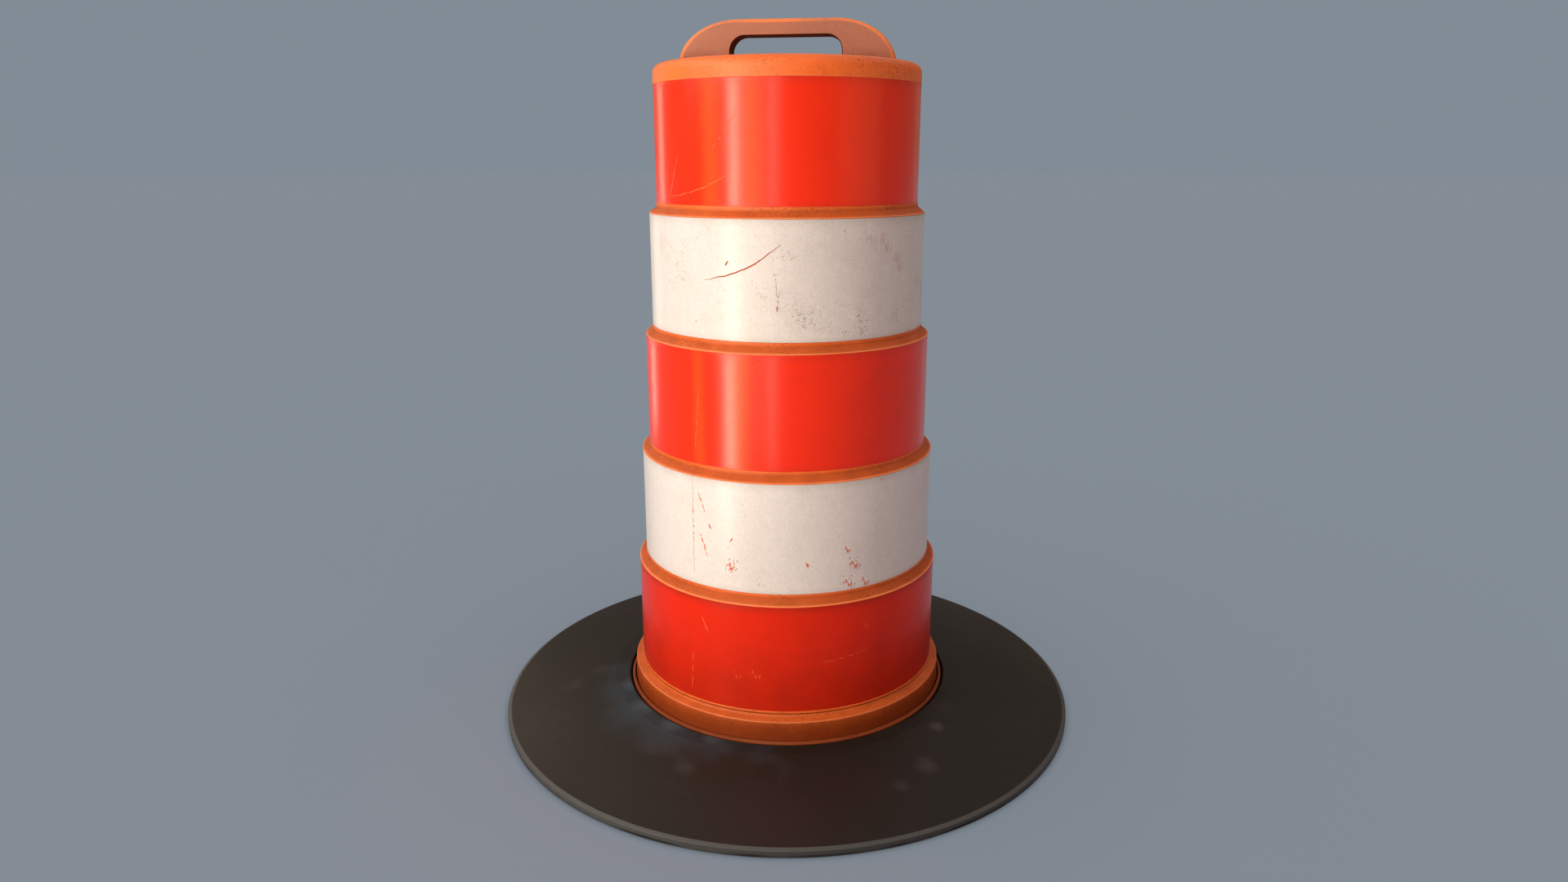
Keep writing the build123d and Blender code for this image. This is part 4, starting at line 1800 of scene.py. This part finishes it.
@dataclass
class HandleFastenings:
    """The bolts, washers, inserts and plates that hold the handle to the deck."""

    head_width: float = 13.0
    head_height: float = 5.3
    flange: float = 0.5
    shank: float = 4.0
    pitch: float = 1.25
    thread_depth: float = 0.42
    face_width: float = 1.7
    plain_run: float = 4.0
    washer_bore: float = 4.2
    around: int = 48
    places: Sequence[float] = (-123.0, -93.0, 93.0, 123.0)

    def _head(self, low: float) -> tuple[list[Place], list[list[int]]]:
        """Makes a hexagon head with its turned-off corners.

        Args:
            low: height of the head's outer face.

        Returns:
            Vertex places in millimetres and faces.
        """
        points, faces, around = [], [], self.around
        flats = self.head_width / 2
        rings = [(low, 0.90, True), (low + 0.35, 0.965, True), (low + 0.9, 1.0, False),
                 (low + self.head_height - self.flange, 1.0, False)]
        for height, share, turned in rings:
            for step in range(around):
                angle = 2 * math.pi * step / around
                within = (angle + math.pi / 6) % (math.pi / 3) - math.pi / 6
                corner = flats / math.cos(within)
                reach = min(corner, flats * 1.09 * share) if turned else corner
                points.append((reach * math.cos(angle), reach * math.sin(angle), height))
        return points, swept_faces(len(rings), around, flip=False)

    def _bolt(self, number: int, at: float, low: float, seat: float, tip: float) -> Piece:
        """Makes one bolt: hexagon head, washer face and threaded shank.

        Args:
            number: the bolt's number, for its name.
            at: its place along the handle.
            low: height of the head's outer face.
            seat: height of the face that bears on the washer.
            tip: height of the shank's end.

        Returns:
            The bolt's object.
        """
        points, faces = self._head(low)
        skins = [[(points[i][0] * MM, points[i][1] * MM) for i in face] for face in faces]
        places = [(at * MM + x * MM, y * MM, z * MM) for x, y, z in points]
        zeros = [0.0] * len(points)
        head = as_object("head", places, faces, skins, zeros, zeros)
        face = self.shank + self.face_width
        corners = [Corner(0, low + 1), Corner(self.shank, low + 1), Corner(face, seat - self.flange),
                   Corner(face, seat, 0.1), Corner(self.shank, seat)]
        up = seat + self.plain_run
        while up < tip - 1.0:
            corners += [Corner(self.shank, up), Corner(self.shank - self.thread_depth, up + self.pitch / 2)]
            up += self.pitch
        corners += [Corner(self.shank - 0.3, tip - 0.8), Corner(self.shank - 1.0, tip), Corner(0, tip)]
        shank = Turned("shank", Outline(corners[::-1], closed=False, pitch=30.0), around=40).build()
        shank.data.transform(shank.matrix_world.Translation((at * MM, 0, 0)))
        return join("handle_bolt_%d" % number, [head, shank])

    def _washer(self, number: int, at: float) -> Piece:
        """Makes one washer with broken edges."""
        low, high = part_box("handle_washers")
        outer = (high[1] - low[1]) / 2 / MM
        bottom, top = low[2] / MM, high[2] / MM
        corners = [Corner(self.washer_bore, bottom, 0.2, 0.5), Corner(self.washer_bore, top, 0.2, 0.5),
                   Corner(outer, top, 0.3, 0.6), Corner(outer, bottom, 0.3, 0.6)]
        washer = Turned("handle_washer_%d" % number, Outline(corners, pitch=5.0), around=72).build()
        washer.data.transform(washer.matrix_world.Translation((at * MM, 0, 0)))
        return washer

    def build(self) -> None:
        """Builds the bolts and washers, and dresses the inserts and plates."""
        zinc = ZINC.build()
        _, low, tip = span("handle_bolts")
        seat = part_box("handle_washers")[0][2] / MM
        for number, at in enumerate(self.places, start=1):
            bolt = self._bolt(number, at, low, seat, tip)
            dress(bolt, zinc)
            settle(bolt, "drum", "zinc_steel", "handle_bolts")
            washer = self._washer(number, at)
            dress(washer, zinc)
            settle(washer, "drum", "zinc_steel", "handle_washers")
        dress_node("handle_backing_plates", zinc)
        dress_node("handle_inserts", BRASS.build())


# ---------------------------------------------------------------- sheeting and its marks

LAP_ANGLE = math.radians(118.0)
# painted glow: a lighter orange laid where the red sheeting faces the lights
PAINTED_GLOW = linear(255, 132, 44)
RED = {
    "colour": linear(236, 46, 8), "shade": linear(220, 39, 6), "dirt_and_shade": linear(132, 26, 8),
    "beneath": linear(252, 112, 58), "speckle": 0.42, "speckle_strength": 0.4, "cells": 0.1,
    "roughness": 0.23, "shine": 0.38, "flecks": 0.08,
}
WHITE = {
    "colour": linear(222, 215, 217), "shade": linear(201, 193, 193), "dirt_and_shade": linear(124, 112, 104),
    "beneath": linear(160, 60, 8), "speckle": 0.4, "speckle_strength": 0.7, "cells": 0.2,
    "hairlines": 0.1, "roughness": 0.3, "shine": 0.42, "peel": 0.7, "clouds": 0.06, "flecks": 0.16,
}


def strip_place(node: str) -> StripPlace:
    """Gives where a strip lies.

    Args:
        node: the strip's CAD node.

    Returns:
        Its radius, lower edge and seam.
    """
    return StripPlace(SheetingStrip.radius_of(node), span(node)[1], LAP_ANGLE)


def red_strip(node: str, **marks: object) -> SheetingStrip:
    """Makes a red-orange strip with its own marks."""
    finish = ReflectiveSheeting(node + "_finish", strip=strip_place(node), **{**RED, **marks})
    return SheetingStrip(node, "sheeting_orange", finish)


def white_strip(node: str, **marks: object) -> SheetingStrip:
    """Makes a white strip with its own marks."""
    finish = ReflectiveSheeting(node + "_finish", strip=strip_place(node), **{**WHITE, **marks})
    return SheetingStrip(node, "sheeting_white", finish)


def all_strips() -> list[SheetingStrip]:
    """Lists the five strips from the top down, each with the marks that it carries."""
    return [
        red_strip(
            "sheeting_top_orange",
            # painted glow on the side that faces the lights
            hazes=(Haze(-114, 181, 22, PAINTED_GLOW, 0.2), Haze(-96, 181, 24, PAINTED_GLOW, 0.16)),
            gouges=(Gouge(-121, 760, 112, 16, 2.0, 1.1, 0.44), Gouge(-108, 828, 60, 52, 0, 1.0, 0.48),
                    Gouge(-136, 775, 60, 68, 0, 1.0, 0.45), Gouge(40, 800, 70, 20, 3.0, 1.0, 0.45)),
        ),
        white_strip(
            "sheeting_upper_white", speckle=0.76,
            gouges=(Gouge(-98.7, 665.2, 113, 24, 2.86, 1.7, 0.24), Gouge(-105.3, 672, 8, 55, 0, 2.2, 0.2),
                    Gouge(-86.2, 646, 34, 96, 0, 1.0, 0.5), Gouge(-85.4, 622, 30, 86, 0, 1.2, 0.5),
                    Gouge(120, 640, 90, 35, 3.0, 2.0, 0.35)),
            clusters=(ChipCluster(-86, 620, 14, 0.57, 260), ChipCluster(-60, 714, 10, 0.56, 240),
                      ChipCluster(-120, 598, 8, 0.54, 260), ChipCluster(60, 620, 24, 0.56, 240)),
            stains=(ChipCluster(-41, 694, 36, 0.5, 300, 0.1, 0.22),
                    ChipCluster(-33, 668, 30, 0.51, 300, 0.1, 0.22),
                    ChipCluster(-50, 706, 20, 0.53, 280, 0.0, 0.22),
                    ChipCluster(-86, 640, 20, 0.55, 320, 0.0, 0.2)),
            scuffs=(ChipCluster(-92, 634, 56, 0.56, 420), ChipCluster(-78, 612, 54, 0.57, 400),
                    ChipCluster(-44, 640, 60, 0.6, 250), ChipCluster(-107, 640, 46, 0.57, 420),
                    ChipCluster(-128, 650, 40, 0.55, 430), ChipCluster(-62, 622, 48, 0.59, 360)),
        ),
        red_strip(
            "sheeting_middle_orange",
            # painted glow on the side that faces the lights
            hazes=(Haze(-117, 201, 16, PAINTED_GLOW, 0.16), Haze(-100, 201, 22, PAINTED_GLOW, 0.2)),
            gouges=(Gouge(-118, 470, 90, 84, 0, 0.9, 0.5), Gouge(-96, 540, 40, 30, 0, 0.9, 0.5),
                    Gouge(10, 480, 80, 60, 2.0, 1.0, 0.48)),
        ),
        white_strip(
            # painted light: the lower white strip is given a slightly lighter white than the upper one
            "sheeting_lower_white", colour=linear(225, 218, 221), shade=linear(207, 199, 200), speckle=0.3,
            beneath=linear(206, 84, 40),
            gouges=(Gouge(-118.4, 326, 138, 90, 0, 1.5, 0.5), Gouge(-114.4, 360, 28, 112, 0, 1.9, 0.44),
                    Gouge(-113.8, 301, 32, 110, 0, 2.2, 0.44), Gouge(-111.0, 328, 8, 120, 0, 2.0, 0.36),
                    Gouge(-102.4, 314, 8, 60, 0, 1.8, 0.3), Gouge(140, 320, 110, 80, 1.0, 1.8, 0.42)),
            clusters=(ChipCluster(-102.6, 276, 26, 0.5, 360, -0.4), ChipCluster(-59.6, 300, 11, 0.48, 340),
                      ChipCluster(-56.6, 277, 29, 0.5, 360, 0.1), ChipCluster(-59.0, 252, 30, 0.52, 340, 0.1),
                      ChipCluster(-74.6, 284.6, 5, 0.4, 200), ChipCluster(-52, 250, 22, 0.52, 260),
                      ChipCluster(-46, 392, 14, 0.56, 240), ChipCluster(30, 280, 24, 0.53, 240)),
            scuffs=(ChipCluster(-92, 258, 22, 0.56, 200, -0.3), ChipCluster(-110, 256, 14, 0.58, 210, -0.3),
                    ChipCluster(-62, 256, 18, 0.58, 210), ChipCluster(-150, 320, 30, 0.6, 220)),
        ),
        red_strip(
            # painted shade: the bottom strip is given a darker red and heavier darkening towards the bottom
            # than the other red strips
            "sheeting_bottom_orange", grime=0.85, grime_height=0.25,
            colour=linear(219, 39, 7), shade=linear(202, 33, 5), shine=0.22,
            gouges=(Gouge(-118, 120, 60, 86, 0, 1.0, 0.5), Gouge(-112, 190, 26, 118, 0, 1.1, 0.4),
                    Gouge(-60, 150, 70, 8, 1.0, 0.8, 0.52)),
            stains=(ChipCluster(-93, 129, 30, 0.54, 240), ChipCluster(-100, 126, 22, 0.55, 240),
                    ChipCluster(-53, 192, 14, 0.52, 260)),
        ),
    ]


# ---------------------------------------------------------------- stage


@dataclass(frozen=True)
class Softbox:
    """A soft light, placed round the object from the camera's own side, in metres."""

    name: str
    swing: float
    distance: float
    low: float
    high: float
    width: float
    power: float
    colour: Rgb = (1.0, 1.0, 1.0)

    def build(self, azimuth: float, spared: bpy.types.Collection) -> None:
        """Stands the light up.

        Args:
            azimuth: the camera's direction in degrees.
            spared: what the light leaves unlit.
        """
        turn = math.radians(azimuth + self.swing)
        light = bpy.data.lights.new(self.name, "AREA")
        light.shape = "RECTANGLE"
        light.size, light.size_y = self.width, self.high - self.low
        light.energy, light.color = self.power, self.colour
        lamp = bpy.data.objects.new(self.name, light)
        out = Vector((math.sin(turn), -math.cos(turn), 0))
        lamp.location = out * self.distance + Vector((0, 0, (self.low + self.high) / 2))
        lamp.rotation_euler = (-out).to_track_quat("-Z", "Y").to_euler()
        lamp.light_linking.receiver_collection = spared
        lamp.visible_camera = False
        bpy.context.scene.collection.objects.link(lamp)


@dataclass
class Studio:
    """The camera, the lights, and a flat pale floor in a room of one plain tone."""

    azimuth: float = 8.0
    pitch: float = 15.17
    camera_height: float = 0.797
    camera_distance: float = 1.4805
    sideways: float = 0.162
    lens: float = 23.85
    floor_radius: float = 60000.0
    softboxes: Sequence[Softbox] = (
        Softbox("key_strip", -41, 0.95, 0.02, 1.2, 0.1, 7.6, (1.0, 0.88, 0.66)),
        Softbox("side", -72, 1.9, 1.1, 2.9, 1.3, 20.0, (1.0, 0.97, 0.93)),
        Softbox("fill", -22, 2.0, 1.2, 3.0, 1.2, 5.0, (1.0, 0.98, 0.97)),
        Softbox("wide_strip", -27, 1.3, 0.1, 1.5, 0.42, 3.0, (1.0, 0.78, 0.56)),
        Softbox("front_strip", -11, 1.3, 0.1, 1.6, 0.08, 2.8, (1.0, 0.88, 0.76)),
        Softbox("left_edge", -130, 1.4, 0.1, 1.9, 0.2, 3.2, (1.0, 0.84, 0.66)),
        Softbox("right_edge", 140, 1.4, 0.03, 1.2, 0.14, 0.1, (1.0, 0.66, 0.44)),
        Softbox("right_fill", 62, 2.3, 0.5, 2.6, 1.6, 9.2, (1.0, 0.45, 0.2)),
    )
    overhead: float = 1.1
    backdrop: Rgb = linear(130, 140, 150)
    glow: Rgb = (0.24, 0.185, 0.138)

    def _camera(self) -> None:
        """Puts up the camera."""
        turn = math.radians(self.azimuth)
        data = bpy.data.cameras.new("camera")
        data.lens, data.sensor_width = self.lens, 36.0
        data.clip_end = 60.0
        camera = bpy.data.objects.new("camera", data)
        reach = self.camera_distance
        camera.location = (reach * math.sin(turn), -reach * math.cos(turn), self.camera_height)
        camera.rotation_euler = (math.radians(90 - self.pitch), 0, math.radians(self.azimuth + self.sideways))
        bpy.context.scene.collection.objects.link(camera)
        bpy.context.scene.camera = camera

    def _floor(self) -> Piece:
        """Lays the wide floor, seen only from above.

        Returns:
            The floor.
        """
        corners = [Corner(0, -0.4), Corner(self.floor_radius * 0.1, -0.4), Corner(self.floor_radius, -0.4)]
        floor = Turned("floor", Outline(corners, closed=False, pitch=6000.0), around=96).build()
        material, graph, shader = new_material("pale_floor")
        tone = EFFECTS.place(graph, Effect.MOTTLE, "Tone", Scale=1.2, Contrast=0.5)
        lit = [way + self.overhead / math.pi for way in self.glow]
        pale = [tint / light for tint, light in zip(self.backdrop, lit)]
        shades = [tuple(part * share for part in pale) for share in (0.985, 1.015)]
        graph.feed(shader.inputs["Base Color"], graph.mix(tone, *shades))
        shader.inputs["Roughness"].default_value = 0.9
        shader.inputs["Specular IOR Level"].default_value = 0.2
        mixer, clear = graph.add("MixShader"), graph.add("BsdfTransparent")
        graph.feed(mixer.inputs[0], graph.add("NewGeometry").outputs["Backfacing"])
        graph.feed(mixer.inputs[1], shader.outputs[0])
        graph.feed(mixer.inputs[2], clear.outputs[0])
        output = next(node for node in material.node_tree.nodes if node.type == "OUTPUT_MATERIAL")
        graph.feed(output.inputs["Surface"], mixer.outputs[0])
        dress(floor, material)
        return floor

    def _overhead(self) -> None:
        """Hangs a very wide soft light high over everything."""
        light = bpy.data.lights.new("overhead", "SUN")
        light.energy, light.angle = self.overhead, math.radians(120)
        bpy.context.scene.collection.objects.link(bpy.data.objects.new("overhead", light))

    def _room(self) -> None:
        """Fills the room: a plain pale backdrop, and a warm glow that lights the object."""
        world = bpy.data.worlds.new("room")
        world.use_nodes = True
        graph = Graph(world.node_tree)
        back = world.node_tree.nodes["Background"]
        seen = graph.add("LightPath").outputs["Is Camera Ray"]
        graph.feed(back.inputs["Color"], graph.mix(seen, self.glow, self.backdrop))
        bpy.context.scene.world = world

    def build(self) -> None:
        """Puts up the whole stage."""
        self._camera()
        spared = bpy.data.collections.new("spared")
        spared.objects.link(self._floor())
        spared.collection_objects[0].light_linking.link_state = "EXCLUDE"
        for softbox in self.softboxes:
            softbox.build(self.azimuth, spared)
        self._overhead()
        self._room()
        bpy.context.scene.view_settings.view_transform = "Standard"


def main() -> None:
    """Builds every piece of the drum, then the stage."""
    logging.basicConfig(level=logging.INFO, format="%(name)s %(message)s")
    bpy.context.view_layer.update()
    EFFECTS.build()
    DrumShell().build()
    for strip in all_strips():
        strip.build()
    CarryHandle().build()
    HandleFastenings().build()
    BaseTray().build()
    BallastRing().build()
    Studio().build()


if __name__ == "__main__":
    main()
